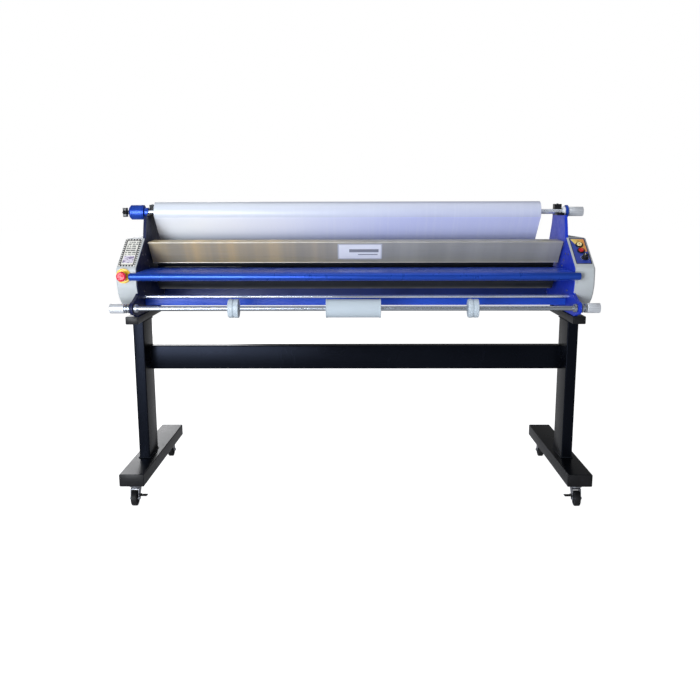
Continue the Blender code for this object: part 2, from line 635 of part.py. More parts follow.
def build_take_up():
    """The lower front shaft with its collars, grips, core holders and centre sleeve."""
    chrome = material("take_up_chrome", (0.70, 0.70, 0.72), 0.15, 1.0)
    alloy = material("take_up_alloy", (0.70, 0.71, 0.73), 0.30, 1.0)
    grey = material("core_holder_grey", (0.55, 0.56, 0.60), 0.40, 0.2)
    centre = (0.0, TAKE_UP_Y, TAKE_UP_Z)
    half = [(-0.955, TAKE_UP_R), (-0.921, TAKE_UP_R)]
    for start in (-0.921, -0.9095):
        half += [(start, 0.0185), (start + 0.008, 0.0185), (start + 0.008, 0.013), (start + 0.0115, 0.013)]
    half = half[:-1] + [(-0.8985, 0.013), (-0.8985, TAKE_UP_R), (-0.8835, TAKE_UP_R), (-0.8835, 0.0165)]
    half += [(-0.870, 0.0165), (-0.870, TAKE_UP_R)]
    turned("take_up_shaft", half + [(-x, r) for x, r in reversed(half)], centre, chrome, COARSE)

    bore = TAKE_UP_R + RUNNING
    left = [(-0.956, bore), (-0.9230, bore), (-0.9230, 0.0185), (-0.9245, 0.0195)]
    left += [(-0.978, 0.0195), (-0.981, 0.0165)]
    turned("take_up_knob_left", left, centre, alloy, FINE)
    grip, socket = fluted_mesh(0.9230, 0.9745, 0.020, 16, 0.0014, 4, bore, 0.956)
    knob = add_object("take_up_knob_right", grip, alloy, centre)
    combine(knob, cutter("take_up_knob_bore", socket, centre), "DIFFERENCE")

    for word, x_from, x_to in (("left", -0.5065, -0.4645), ("right", 0.4490, 0.4910)):
        ring = [(x_from, bore), (x_from, 0.0335), (x_from + 0.004, CORE_R)]
        ring += [(x_to - 0.004, CORE_R), (x_to, 0.0335), (x_to, bore)]
        turned("core_holder_" + word, ring, centre, grey, FINE, closed=True)
    x_from, x_to = -0.1165, 0.1025
    rim = [(x_from, bore), (x_from, 0.038), (x_from + 0.006, 0.038), (x_from + 0.0065, 0.0365)]
    rim += [(x_from + x_to - x, r) for x, r in reversed(rim)]
    turned("centre_sleeve", rim, centre, grey, FINE, closed=True)


# ---------------------------------------------------------------- controls

def build_controls():
    """The emergency stop on the left cover, three controls on the right one, and the inlet."""
    yellow = material("stop_yellow", (0.85, 0.62, 0.05), 0.4)
    red = material("stop_red", (0.65, 0.02, 0.05), 0.3)
    black = material("control_black", (0.02, 0.02, 0.02), 0.4)
    cream = material("button_cream", (0.80, 0.76, 0.60), 0.4)

    ring = [(GAP, 0.0120), (GAP, 0.0300), (0.003, 0.0300), (0.0045, 0.0285), (0.0045, 0.0120)]
    head = [(0.0012, 0.0105), (0.026, 0.0105), (0.026, 0.0175), (0.031, 0.0200), (0.038, 0.0200), (0.043, 0.0150)]
    place = (STOP_X, 0.0, STOP_Z)
    add_object("emergency_stop_ring", stop_mesh(ring, closed=True), yellow, place)
    add_object("emergency_stop_button", stop_mesh(head), red, place)

    lift = 0.0012
    cap = [(lift, BUTTON_R), (0.0075, BUTTON_R), (0.0090, BUTTON_R - 0.0015)]
    panel_piece("run_button", BUTTON_X, RUN_DOWN, cap, cream)
    panel_piece("stop_button", BUTTON_X, STOP_DOWN, cap, red)
    knob = [(lift, 0.0150), (0.005, 0.0150), (0.0065, 0.0115), (0.018, 0.0105), (0.0195, 0.0090)]
    panel_piece("speed_knob", 0.9380, 0.136, knob, black)

    inlet = box("power_inlet", (0.9090, COVER_REAR_Y + GAP, 0.850), (0.9570, COVER_REAR_Y + 0.012, 0.882), black)
    recess = box_mesh((0.9150, COVER_REAR_Y + 0.003, 0.855), (0.9510, COVER_REAR_Y + 0.020, 0.877))
    combine(inlet, cutter("inlet_recess", recess), "DIFFERENCE")


# ---------------------------------------------------------------- build

def main():
    """Builds the whole machine, sub-assembly by sub-assembly."""
    build_stand()
    build_casters()
    build_side_plates()
    build_covers()
    build_sheets()
    build_rollers()
    build_bearings()
    build_drive()
    build_supply()
    build_take_up()
    build_controls()


clear_scene()
main()
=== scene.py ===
"""Cold roll laminator: the finished looks of a wide-format machine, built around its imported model.

Each sub-assembly is a class that holds its own sizes, models its pieces with mesh operators and dresses them.
Everything is in metres in the machine's frame: the floor at Z = 0, X along the rollers, the operator at -Y.
"""

import json
import logging
import math
from dataclasses import dataclass, field
from enum import Enum
from typing import Iterable, Optional, Sequence, Union

import bmesh
import bpy
from mathutils import Matrix, Vector

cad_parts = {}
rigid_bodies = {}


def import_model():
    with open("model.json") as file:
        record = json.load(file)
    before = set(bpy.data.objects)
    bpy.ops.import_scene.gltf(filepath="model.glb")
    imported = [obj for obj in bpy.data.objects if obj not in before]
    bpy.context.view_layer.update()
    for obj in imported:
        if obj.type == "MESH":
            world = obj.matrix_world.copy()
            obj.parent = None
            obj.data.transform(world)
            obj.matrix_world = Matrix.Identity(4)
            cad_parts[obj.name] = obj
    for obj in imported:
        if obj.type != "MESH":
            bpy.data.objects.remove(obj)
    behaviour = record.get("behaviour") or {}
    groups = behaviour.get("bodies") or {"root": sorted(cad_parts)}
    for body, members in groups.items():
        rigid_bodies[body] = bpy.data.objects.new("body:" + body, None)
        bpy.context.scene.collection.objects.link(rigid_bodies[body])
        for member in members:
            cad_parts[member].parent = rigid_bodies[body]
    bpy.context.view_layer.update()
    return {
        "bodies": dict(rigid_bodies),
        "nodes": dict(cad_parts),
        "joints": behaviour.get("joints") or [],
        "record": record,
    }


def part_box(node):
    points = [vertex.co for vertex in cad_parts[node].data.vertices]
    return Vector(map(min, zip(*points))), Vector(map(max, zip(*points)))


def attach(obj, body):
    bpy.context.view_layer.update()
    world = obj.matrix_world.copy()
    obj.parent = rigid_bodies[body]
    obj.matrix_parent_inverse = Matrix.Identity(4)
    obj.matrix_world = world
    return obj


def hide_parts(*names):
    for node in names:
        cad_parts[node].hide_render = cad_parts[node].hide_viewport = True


LOG = logging.getLogger("laminator")

Colour = tuple[float, float, float]
Point = tuple[float, float]
Place = Sequence[float]

SMOOTH_ANGLE = math.radians(32)
NEAR = 1e-7
ROUND = 64
FINE_ROUND = 96


def colour(code: str) -> Colour:
    """Turns a six-figure screen colour into a linear one.

    Args:
        code: The colour as six hexadecimal figures.

    Returns:
        The linear red, green and blue.
    """
    parts = [int(code[i:i + 2], 16) / 255 for i in (0, 2, 4)]
    return tuple(c / 12.92 if c <= 0.04045 else ((c + 0.055) / 1.055) ** 2.4 for c in parts)


class Side(Enum):
    """The two ends of the machine, as the operator sees them."""

    LEFT = -1
    RIGHT = 1

    @property
    def word(self) -> str:
        """The side's name in node names."""
        return self.name.lower()


class Axis(Enum):
    """The directions that a turned or brushed piece can follow."""

    X = (1.0, 0.0, 0.0)
    Y = (0.0, 1.0, 0.0)
    Z = (0.0, 0.0, 1.0)


# ---------------------------------------------------------------- shader graphs


class Wire:
    """A shader socket that takes part in arithmetic."""

    def __init__(self, graph: "Graph", socket: bpy.types.NodeSocket) -> None:
        """Keeps the socket and the graph that it belongs to."""
        self.graph = graph
        self.socket = socket

    def _math(self, operation: str, left: "Value", right: "Value") -> "Wire":
        """One Math node on two values."""
        return self.graph.node("ShaderNodeMath", {"operation": operation}, {0: left, 1: right})

    def __add__(self, other: "Value") -> "Wire":
        """Sum."""
        return self._math("ADD", self, other)

    def __radd__(self, other: "Value") -> "Wire":
        """Sum, the other way round."""
        return self._math("ADD", other, self)

    def __sub__(self, other: "Value") -> "Wire":
        """Difference."""
        return self._math("SUBTRACT", self, other)

    def __rsub__(self, other: "Value") -> "Wire":
        """Difference, the other way round."""
        return self._math("SUBTRACT", other, self)

    def __mul__(self, other: "Value") -> "Wire":
        """Product."""
        return self._math("MULTIPLY", self, other)

    def __rmul__(self, other: "Value") -> "Wire":
        """Product, the other way round."""
        return self._math("MULTIPLY", other, self)

    def above(self, limit: "Value") -> "Wire":
        """1 where this is more than the limit, else 0."""
        return self._math("GREATER_THAN", self, limit)

    def within(self, low: float, high: float) -> "Wire":
        """1 between two limits, else 0."""
        return self.above(low) * (1 - self.above(high))

    def repeat(self, times: float) -> "Wire":
        """The fraction left when this is cut into so many equal steps."""
        return (self * times)._math("FRACT", self * times, 0.0)


Value = Union[Wire, float, Sequence[float]]


class Graph:
    """The node tree of a material or a world, with the shader that ends it."""

    def __init__(self, owner: Union[bpy.types.Material, bpy.types.World], end: str = "Principled BSDF") -> None:
        """Turns the owner's nodes on and finds the shader at their end.

        Args:
            owner: The material or world.
            end: The name of its last shader.
        """
        owner.use_nodes = True
        self.tree = owner.node_tree
        self.shader = self.tree.nodes[end]

    def node(
        self,
        kind: str,
        settings: Optional[dict] = None,
        inputs: Optional[dict] = None,
        output: Union[int, str] = 0,
    ) -> Wire:
        """Adds a node, sets it up and feeds it.

        Args:
            kind: The node's type.
            settings: Its properties.
            inputs: Values or wires for its sockets, by name or number.
            output: The socket to return, by name or number.

        Returns:
            The wire from that output.
        """
        made = self.tree.nodes.new(kind)
        for key, value in (settings or {}).items():
            setattr(made, key, value)
        for key, value in (inputs or {}).items():
            self._feed(made.inputs[key], value)
        return Wire(self, made.outputs[output])

    def _feed(self, socket: bpy.types.NodeSocket, value: Value) -> None:
        """Links a wire to a socket, or sets the socket's value.

        Args:
            socket: The socket.
            value: A wire or a plain value.
        """
        if isinstance(value, Wire):
            self.tree.links.new(value.socket, socket)
        else:
            socket.default_value = value

    def surface(self, **sockets: Value) -> None:
        """Feeds the last shader's sockets, named with underscores for spaces."""
        for key, value in sockets.items():
            if key == "Base_Color" and not isinstance(value, Wire):
                value = (*value, 1.0)
            self._feed(self.shader.inputs[key.replace("_", " ")], value)

    def coords(self, scale: Place = (1.0, 1.0, 1.0)) -> Wire:
        """Positions in the machine's frame, stretched along each axis."""
        place = self.node("ShaderNodeTexCoord", output="Object")
        return self.node("ShaderNodeMapping", {"vector_type": "POINT"}, {"Vector": place, "Scale": scale})

    def parts(self, source: str = "Object") -> tuple[Wire, Wire, Wire]:
        """The three parts of the object or UV coordinates."""
        place = self.node("ShaderNodeTexCoord", output=source)
        return tuple(self.node("ShaderNodeSeparateXYZ", {}, {0: place}, i) for i in range(3))

    def noise(self, vector: Wire, scale: float, detail: float = 3.0, roughness: float = 0.5) -> Wire:
        """Cloudy noise from 0 to 1."""
        values = {"Vector": vector, "Scale": scale, "Detail": detail, "Roughness": roughness}
        return self.node("ShaderNodeTexNoise", {"noise_dimensions": "3D"}, values)

    def spread(self, value: Wire, low: float, high: float, to_low: float, to_high: float) -> Wire:
        """Stretches a range of values onto another, and clamps it."""
        return self.node("ShaderNodeMapRange", {"clamp": True}, {0: value, 1: low, 2: high, 3: to_low, 4: to_high})

    def blend(self, factor: Value, first: Union[Wire, Colour], second: Union[Wire, Colour]) -> Wire:
        """Mixes two colours.

        Args:
            factor: How much of the second one.
            first: The first colour.
            second: The second colour.

        Returns:
            The mixed colour.
        """
        ends = [shade if isinstance(shade, Wire) else (*shade, 1.0) for shade in (first, second)]
        settings = {"data_type": "RGBA", "blend_type": "MIX"}
        return self.node("ShaderNodeMix", settings, {0: factor, 6: ends[0], 7: ends[1]}, 2)

    def bump(self, height: Wire, strength: float, distance: float) -> Wire:
        """A normal raised by a height."""
        return self.node("ShaderNodeBump", {}, {"Strength": strength, "Distance": distance, "Height": height})


# ---------------------------------------------------------------- finishes


@dataclass(frozen=True)
class Finish:
    """A named finish, made into a material once."""

    name: str

    def material(self) -> bpy.types.Material:
        """The finish's material."""
        label = self.name + "_finish"
        found = bpy.data.materials.get(label)
        if found:
            return found
        made = bpy.data.materials.new(label)
        self.dress(Graph(made))
        return made

    def dress(self, graph: Graph) -> None:
        """Fills the graph."""
        raise NotImplementedError


@dataclass(frozen=True)
class PowderCoat(Finish):
    """Baked powder paint with a fine orange peel and faint rub marks."""

    shade: Colour
    worn: Colour
    roughness: float = 0.26
    peel: float = 0.05
    sheen: float = 0.11

    def dress(self, graph: Graph) -> None:
        """Clouded colour, peel bump and rubbed patches.

        Args:
            graph: The material's graph.
        """
        cloud = graph.noise(graph.coords(), 2.2, 4.0)
        rub = graph.noise(graph.coords((1.0, 0.35, 0.25)), 26.0, 6.0, 0.7)
        marks = graph.spread(rub, 0.60, 0.74, 0.0, 0.55)
        base = graph.blend(graph.spread(cloud, 0.3, 0.7, 0.0, 0.5) * 0.6 + marks * 0.4, self.shade, self.worn)
        grain = graph.noise(graph.coords(), 520.0, 2.0)
        graph.surface(
            Base_Color=base,
            Roughness=graph.spread(cloud + marks * 0.5, 0.3, 1.0, self.roughness - 0.05, self.roughness + 0.14),
            Normal=graph.bump(grain, self.peel, 0.0006),
            Specular_IOR_Level=self.sheen,
            Specular_Tint=(0.55, 0.66, 1.0, 1.0),
        )


@dataclass(frozen=True)
class Paint(Finish):
    """Gloss stove paint over sheet metal, with a slow depth of colour."""

    shade: Colour
    deep: Colour
    roughness: float = 0.24
    coat: float = 0.5
    peel: float = 0.05
    sheen: float = 0.5

    def dress(self, graph: Graph) -> None:
        """Colour that deepens in slow clouds, a light peel and handling smears.

        Args:
            graph: The material's graph.
        """
        cloud = graph.noise(graph.coords(), 3.5, 3.0)
        smear = graph.noise(graph.coords((0.4, 1.6, 2.4)), 14.0, 5.0, 0.62)
        grain = graph.noise(graph.coords(), 380.0, 2.0)
        graph.surface(
            Base_Color=graph.blend(graph.spread(cloud, 0.3, 0.72, 0.0, 1.0), self.shade, self.deep),
            Roughness=graph.spread(smear, 0.35, 0.7, self.roughness - 0.04, self.roughness + 0.12),
            Normal=graph.bump(grain, self.peel, 0.0006),
            Coat_Weight=self.coat,
            Coat_Roughness=0.08,
            Specular_IOR_Level=self.sheen,
        )


@dataclass(frozen=True)
class BrushedSteel(Finish):
    """Stainless sheet brushed along X, with painted reflections: broad soft light and dark streaks across the
    brushing and a warm tan towards one end.
    """

    shade: Colour
    # warm: the tan of a painted reflection, full at the left-hand end and gone towards the middle
    warm: Colour
    reflected_warm_from: float = 0.1
    reflected_warm_to: float = -0.55
    roughness: float = 0.42
    metallic: float = 0.35

    def dress(self, graph: Graph) -> None:
        """Fine brush lines along X over painted reflections: slow light and dark streaks along X and a warm
        reflected tan towards one end.

        Args:
            graph: The material's graph.
        """
        across, _, _ = graph.parts()
        lines = graph.noise(graph.coords((6.0, 900.0, 900.0)), 1.0, 4.0, 0.6)
        reflection_streaks = graph.noise(graph.coords((7.0, 0.0, 0.0)), 1.0, 3.0, 0.55)
        # Painted reflection: a warm tan from the left-hand end, broken up by the slow streaks.
        reflected_warmth = graph.spread(across, self.reflected_warm_to, self.reflected_warm_from, 1.0, 0.0)
        tint = graph.blend(reflected_warmth * (0.55 + reflection_streaks * 0.7), self.shade, self.warm)
        # Painted reflection: the slow streaks also darken the steel in broad stripes.
        dark = [c * 0.66 for c in self.shade]
        base = graph.blend(graph.spread(reflection_streaks, 0.38, 0.62, 0.62, 0.0), tint, tuple(dark))
        base = graph.blend(graph.spread(lines, 0.35, 0.75, 0.0, 0.22), base, (0.80, 0.79, 0.76))
        graph.surface(
            Base_Color=base,
            Metallic=self.metallic,
            Roughness=graph.spread(lines, 0.3, 0.7, self.roughness - 0.05, self.roughness + 0.10),
            Normal=graph.bump(lines, 0.10, 0.0003),
        )


@dataclass(frozen=True)
class TurnedMetal(Finish):
    """Turned, ground or plated bar: bright metal with fine lines round its axis."""

    shade: Colour
    roughness: float = 0.18
    metallic: float = 1.0
    lines: float = 0.06
    axis: Axis = Axis.X
    coat: float = 0.0

    def dress(self, graph: Graph) -> None:
        """Rings along the axis, faint stains and wiped patches.

        Args:
            graph: The material's graph.
        """
        stretch = tuple(1400.0 if along else 4.0 for along in self.axis.value)
        rings = graph.noise(graph.coords(stretch), 1.0, 2.0)
        stain = graph.noise(graph.coords(), 24.0, 5.0, 0.6)
        dull = tuple(c * 0.72 for c in self.shade)
        base = graph.blend(graph.spread(stain, 0.45, 0.8, 0.0, 0.6), self.shade, dull)
        graph.surface(
            Base_Color=graph.blend(graph.spread(rings, 0.4, 0.8, 0.0, 0.25), base, dull),
            Metallic=self.metallic,
            Roughness=graph.spread(stain + rings * 0.4, 0.4, 1.1, self.roughness, self.roughness + 0.14),
            Normal=graph.bump(rings, self.lines, 0.0002),
            Coat_Weight=self.coat,
        )


@dataclass(frozen=True)
class Moulded(Finish):
    """Moulded plastic or rubber with a fine spark texture."""

    shade: Colour
    roughness: float = 0.42
    texture: float = 0.10
    scale: float = 700.0
    coat: float = 0.0
    fade: float = 0.02
    sheen: float = 0.22

    def dress(self, graph: Graph) -> None:
        """Even colour with a slight cloudy fade and a spark-textured skin.

        Args:
            graph: The material's graph.
        """
        cloud = graph.noise(graph.coords(), 18.0, 4.0)
        grain = graph.noise(graph.coords(), self.scale, 2.0)
        faded = tuple(c + (0.5 - c) * self.fade for c in self.shade)
        graph.surface(
            Base_Color=graph.blend(graph.spread(cloud, 0.4, 0.8, 0.0, 0.7), self.shade, faded),
            Roughness=graph.spread(cloud, 0.3, 0.7, self.roughness - 0.05, self.roughness + 0.08),
            Normal=graph.bump(grain, self.texture, 0.0004),
            Coat_Weight=self.coat,
            Specular_IOR_Level=self.sheen,
        )


@dataclass(frozen=True)
class FilmFinish(Finish):
    """Laminating film: pale, slightly milky, shiny, with faint lines along its run."""

    # The first colour is the film where it is lit; the second is the same film under painted shade, darker and more
    # lavender.
    pale: Colour
    shaded_lavender: Colour
    # How much painted shade greys the top of a wound roll.
    crown_shade: float = 0.0
    roughness: float = 0.34

    def dress(self, graph: Graph) -> None:
        """Painted shade: the film darkens to a deeper lavender towards the right and the bottom, and greys over the
        roll's top; then fine slack lines and a soft gloss.

        Args:
            graph: The material's graph.
        """
        across, _, height = graph.parts()
        lines = graph.noise(graph.coords((60.0, 1.2, 1.2)), 1.0, 4.0, 0.6)
        slack = graph.noise(graph.coords((5.0, 2.0, 2.0)), 1.0, 2.0)
        # Painted shade: darker and more lavender towards the right, away from the key light, and lower down, under
        # the cover.
        painted_shade_drift = graph.spread(across + (1.15 - height) * 1.6 + slack * 0.12, -0.62, 0.30, 0.0, 1.0)
        shade = graph.blend(painted_shade_drift, self.pale, self.shaded_lavender)
        shade = graph.blend(graph.spread(lines, 0.5, 0.8, 0.0, 0.22), shade, (0.80, 0.82, 0.94))
        # Painted shade: the top of the roll greys.
        shade = graph.blend(graph.spread(height, 1.12, 1.20, 0.0, self.crown_shade), shade, (0.60, 0.63, 0.70))
        graph.surface(
            Base_Color=shade,
            Roughness=graph.spread(lines, 0.3, 0.7, self.roughness - 0.06, self.roughness + 0.08),
            Normal=graph.bump(slack + lines * 0.2, 0.12, 0.002),
            Coat_Weight=0.3,
            Coat_Roughness=0.15,
        )


@dataclass(frozen=True)
class InstructionPrint(Finish):
    """A printed instruction sheet: sprocketed black border, grey line blocks and a picture block."""

    def dress(self, graph: Graph) -> None:
        """Masks on the sheet's own UV map.

        Args:
            graph: The material's graph.
        """
        across, up, _ = graph.parts("UV")
        white = colour("f2f0e8")
        ink = colour("23242c")
        border = 1 - across.within(0.15, 0.85) * up.within(0.06, 0.94)
        holes = across.repeat(6.0).within(0.35, 0.75) * (1 - up.within(0.04, 0.96))
        holes = holes + up.repeat(14.0).within(0.35, 0.75) * (1 - across.within(0.10, 0.90))
        rows = up.within(0.42, 0.90) * up.repeat(13.0).within(0.22, 0.80) * across.within(0.20, 0.82)
        breaks = graph.noise(graph.coords((150.0, 30.0, 30.0)), 1.0, 1.0).above(0.44)
        picture = up.within(0.12, 0.38) * across.within(0.20, 0.82)
        shape = graph.noise(graph.coords((70.0, 90.0, 90.0)), 1.0, 2.0)
        shade = graph.blend(rows * breaks * 0.85, white, ink)
        print_shades = graph.blend(shape.above(0.52), colour("ddd6e4"), colour("8d7fa0"))
        shade = graph.blend(picture, shade, print_shades)
        shade = graph.blend(border, shade, ink)
        shade = graph.blend(border * holes, shade, white)
        graph.surface(Base_Color=shade, Roughness=0.35, Coat_Weight=0.4)


@dataclass(frozen=True)
class PanelPrint(Finish):
    """The control panel's overlay: deep blue with a dark edge and a yellow sweep at its top."""

    def dress(self, graph: Graph) -> None:
        """Masks on the overlay's own UV map.

        Args:
            graph: The material's graph.
        """
        across, up, _ = graph.parts("UV")
        cloud = graph.noise(graph.coords(), 60.0, 3.0)
        blue = graph.blend(cloud, colour("1d2f8a"), colour("2b47ae"))
        inside = across.within(0.05, 0.95) * up.within(0.022, 0.978)
        edge_height = 0.93 - 0.46 * graph.spread(across, 0.10, 0.62, 0.0, 1.0)
        sweep = graph.spread(up - edge_height, -0.006, 0.006, 0.0, 1.0) * across.within(0.09, 0.93)
        warm = graph.blend(across, colour("f6e27a"), colour("e08a3c"))
        shade = graph.blend(sweep * up.within(0.0, 0.965), blue, warm)
        shade = graph.blend(1 - inside, shade, colour("14161f"))
        graph.surface(Base_Color=shade, Roughness=0.28, Coat_Weight=0.5)


@dataclass(frozen=True)
class PlatePrint(Finish):
    """A plain white nameplate with a thin grey frame and two blank bars."""

    def dress(self, graph: Graph) -> None:
        """Masks on the plate's own UV map.

        Args:
            graph: The material's graph.
        """
        across, up, _ = graph.parts("UV")
        cloud = graph.noise(graph.coords(), 30.0, 2.0)
        white = graph.blend(cloud, (0.95, 0.95, 0.94), (0.88, 0.88, 0.87))
        frame = 1 - across.within(0.03, 0.97) * up.within(0.06, 0.94)
        bars = across.within(0.26, 0.92) * up.within(0.46, 0.66) + across.within(0.46, 0.90) * up.within(0.28, 0.34)
        shade = graph.blend(bars * 0.75, white, colour("4a4d55"))
        shade = graph.blend(frame * 0.5, shade, colour("9a9ca2"))
        graph.surface(Base_Color=shade, Roughness=0.4)


@dataclass(frozen=True)
class FloorFinish(Finish):
    """Plain pale studio floor."""

    shade: Colour = (0.60, 0.60, 0.61)

    def dress(self, graph: Graph) -> None:
        """An almost even pale matt surface.

        Args:
            graph: The material's graph.
        """
        cloud = graph.noise(graph.coords(), 0.6, 2.0)
        lighter = tuple(min(1.0, c * 1.02) for c in self.shade)
        seen = graph.node("ShaderNodeLightPath", output="Is Camera Ray")
        graph.surface(
            Base_Color=graph.blend(cloud, self.shade, lighter),
            Roughness=0.9,
            Emission_Color=graph.blend(seen, (0.12, 0.12, 0.12), (1.0, 1.0, 1.0)),
            Emission_Strength=0.90,
        )


BLACK_STEEL = PowderCoat("black_powder_coat", colour("050609"), colour("0c0e14"))
WELD = PowderCoat("weld_bead", colour("0a0b0d"), colour("2c3038"), 0.42, 0.5)
# The left side plate's paint: the plates' royal blue painted darker as shade.
SHADED_PLATE_BLUE = Paint("navy_plate_paint", colour("141d44"), colour("10173a"), 0.40, 0.0, 0.05, 0.22)
ROYAL_BLUE = Paint("royal_blue_paint", colour("1d3cc4"), colour("182fa8"), 0.40, 0.0, 0.05, 0.22)
TABLE_BLUE = Paint("table_blue_paint", colour("2c55d0"), colour("2448b8"), 0.26, 0.0, 0.05, 0.28)
# The exit table's paint: the table blue painted darker as shade, where it sits between the lower roller and the
# beam.
SHADED_REAR_BLUE = Paint("rear_table_blue_paint", colour("17307c"), colour("122665"), 0.34, 0.0, 0.05, 0.25)
BEAM_BLUE = Paint("beam_blue_paint", colour("1f52cc"), colour("1a40ae"), 0.32, 0.0, 0.05, 0.3)
TUBE_BLUE = TurnedMetal("blue_anodised_tube", colour("1a49b6"), 0.24, 0.55, 0.03, Axis.X, 0.05)
HUB_BLUE = TurnedMetal("blue_anodised_hub", colour("1b48b8"), 0.28, 0.5, 0.08, Axis.X, 0.05)
CREAM = Paint("cream_cover_paint", colour("c0c4c6"), colour("b4babd"), 0.42, 0.05, 0.30, 0.35)
# Brushed stainless; its second colour is the tan of a painted warm reflection.
STAINLESS = BrushedSteel("brushed_stainless", (0.52, 0.50, 0.39), (0.80, 0.58, 0.26))
# Lighter than the stainless sheet: a painted highlight along the cover's top and bottom edges.
HIGHLIGHT_HEM_STEEL = TurnedMetal("rolled_steel_hem", (0.66, 0.62, 0.56), 0.40, 0.7, 0.05)
CHROME = TurnedMetal("chromed_bar", (0.78, 0.84, 0.96), 0.16, 0.8, 0.006)
SHAFT_STEEL = TurnedMetal("drawn_shaft_steel", (0.45, 0.49, 0.55), 0.22, 1.0, 0.006)
GROUND = TurnedMetal("ground_steel", (0.52, 0.52, 0.53), 0.26, 1.0, 0.12)
ALLOY = TurnedMetal("turned_alloy", (0.74, 0.77, 0.82), 0.34, 0.6, 0.08)
ZINC = TurnedMetal("zinc_plate", (0.30, 0.31, 0.34), 0.24, 1.0, 0.05, Axis.Z)
ROLLER_RUBBER = Moulded("ground_roller_rubber", colour("20232b"), 0.38, 0.06, 420.0, 0.15)
TYRE_RUBBER = Moulded("caster_tread", colour("121214"), 0.55, 0.15, 600.0)
HUB_NYLON = Moulded("caster_hub_nylon", colour("2a2b2f"), 0.40)
BLACK_NYLON = Moulded("black_nylon", colour("0d0d10"), 0.36, 0.12)
BLACK_GLOSS = Moulded("black_gloss_plastic", colour("0b0b0e"), 0.22, 0.04, 700.0, 0.4)
GREY_PLASTIC = Moulded("light_grey_plastic", colour("b3bec7"), 0.36, 0.05, 500.0, 0.1, 0.05)
WHITE_NYLON = Moulded("white_nylon", colour("ecedee"), 0.35, 0.05, 500.0, 0.1, 0.02)
STOP_YELLOW = Moulded("stop_yellow", colour("f2c21c"), 0.34, 0.05, 500.0, 0.2, 0.02)
STOP_RED = Moulded("stop_red", colour("cf1838"), 0.28, 0.04, 500.0, 0.4, 0.02)
BUTTON_RED = Moulded("button_red", colour("c41c24"), 0.28, 0.04, 500.0, 0.4, 0.02)
BUTTON_CREAM = Moulded("button_cream", colour("f0dfa0"), 0.30, 0.04, 500.0, 0.3, 0.02)
POINTER_WHITE = Moulded("pointer_white", colour("e8ead8"), 0.40, 0.04, 500.0, 0.0, 0.02)
CARD = Moulded("cardboard_core", colour("a8865c"), 0.80, 0.35, 260.0, 0.0, 0.2)
MOTOR_GREY = PowderCoat("motor_grey", colour("5c6066"), colour("74787e"), 0.45, 0.2)
# Each film's second colour, and the wound roll's greyer top, are painted shade.
FILM = FilmFinish("laminating_film", colour("eef2fb"), colour("c2c8f4"))
WOUND_FILM = FilmFinish("wound_laminating_film", colour("d8dee8"), colour("b6bce0"), 0.55)


# ---------------------------------------------------------------- mesh making


def block(low: Place, high: Place, edge: float = 0.0, segments: int = 3,
          along: Optional[Axis] = None) -> bmesh.types.BMesh:
    """A box with rounded edges.

    Args:
        low: Its lowest corner.
        high: Its highest corner.
        edge: The rounding's width.
        segments: The rounding's facets.
        along: The direction of the edges to round, or None for all of them.

    Returns:
        The box's bmesh.
    """
    bm = bmesh.new()
    bmesh.ops.create_cube(bm, size=1.0)
    size = Vector(high) - Vector(low)
    bmesh.ops.scale(bm, vec=size, verts=bm.verts)
    bmesh.ops.translate(bm, vec=(Vector(high) + Vector(low)) / 2, verts=bm.verts)
    if edge:
        edges = list(bm.edges)
        if along:
            way = Vector(along.value)
            edges = [e for e in bm.edges if abs((e.verts[0].co - e.verts[1].co).normalized().dot(way)) > 0.99]
        round_edges(bm, edges, edge, segments)
    return bm


def round_edges(bm: bmesh.types.BMesh, edges: Iterable, width: float, segments: int = 3) -> None:
    """Bevels a set of edges to a round.

    Args:
        bm: The bmesh.
        edges: Its edges to round.
        width: The rounding's width.
        segments: Its facets.
    """
    bmesh.ops.bevel(
        bm, geom=list(edges), offset=width, offset_type="OFFSET", segments=segments,
        profile=0.5, affect="EDGES", clamp_overlap=True, material=-1,
    )


def sharp_edges(bm: bmesh.types.BMesh, angle: float = 0.6) -> list:
    """The edges whose faces meet at more than an angle, in radians."""
    bm.normal_update()
    return [e for e in bm.edges if len(e.link_faces) == 2 and e.calc_face_angle() > angle]


def turn(profile: Sequence[Point], centre: Place, axis: Axis = Axis.X, steps: int = ROUND,
         ring: bool = False, way: Optional[Vector] = None) -> bmesh.types.BMesh:
    """Turns a profile about an axis.

    Args:
        profile: Points of distance along the axis and radius.
        centre: A point on the axis; distances along it are added to this.
        axis: The axis's direction.
        steps: Facets round the axis.
        ring: Whether the profile closes on itself, as a ring with a bore does.
        way: A direction that takes the axis's place.

    Returns:
        The turned body's bmesh.
    """
    bm = bmesh.new()
    points = list(profile)
    if not ring:
        points = [(points[0][0], 0.0)] + points + [(points[-1][0], 0.0)]
    verts = [bm.verts.new((x, 0.0, r)) for x, r in points]
    edges = [bm.edges.new(pair) for pair in zip(verts, verts[1:])]
    if ring:
        edges.append(bm.edges.new((verts[-1], verts[0])))
    bmesh.ops.spin(bm, geom=verts + edges, cent=(0, 0, 0), axis=(1, 0, 0), angle=math.tau, steps=steps,
                   use_merge=True)
    bmesh.ops.remove_doubles(bm, verts=bm.verts, dist=1e-6)
    bmesh.ops.recalc_face_normals(bm, faces=bm.faces)
    heading = Vector((1, 0, 0)).rotation_difference(way or Vector(axis.value)).to_matrix()
    bmesh.ops.rotate(bm, verts=bm.verts, cent=(0, 0, 0), matrix=heading)
    bmesh.ops.translate(bm, vec=Vector(centre), verts=bm.verts)
    return bm


def mirrored(half: Sequence[Point], middle: float = 0.0) -> list[Point]:
    """Half a profile, followed by its mirror image about a point on the axis."""
    return list(half) + [(2 * middle - x, r) for x, r in reversed(half)]


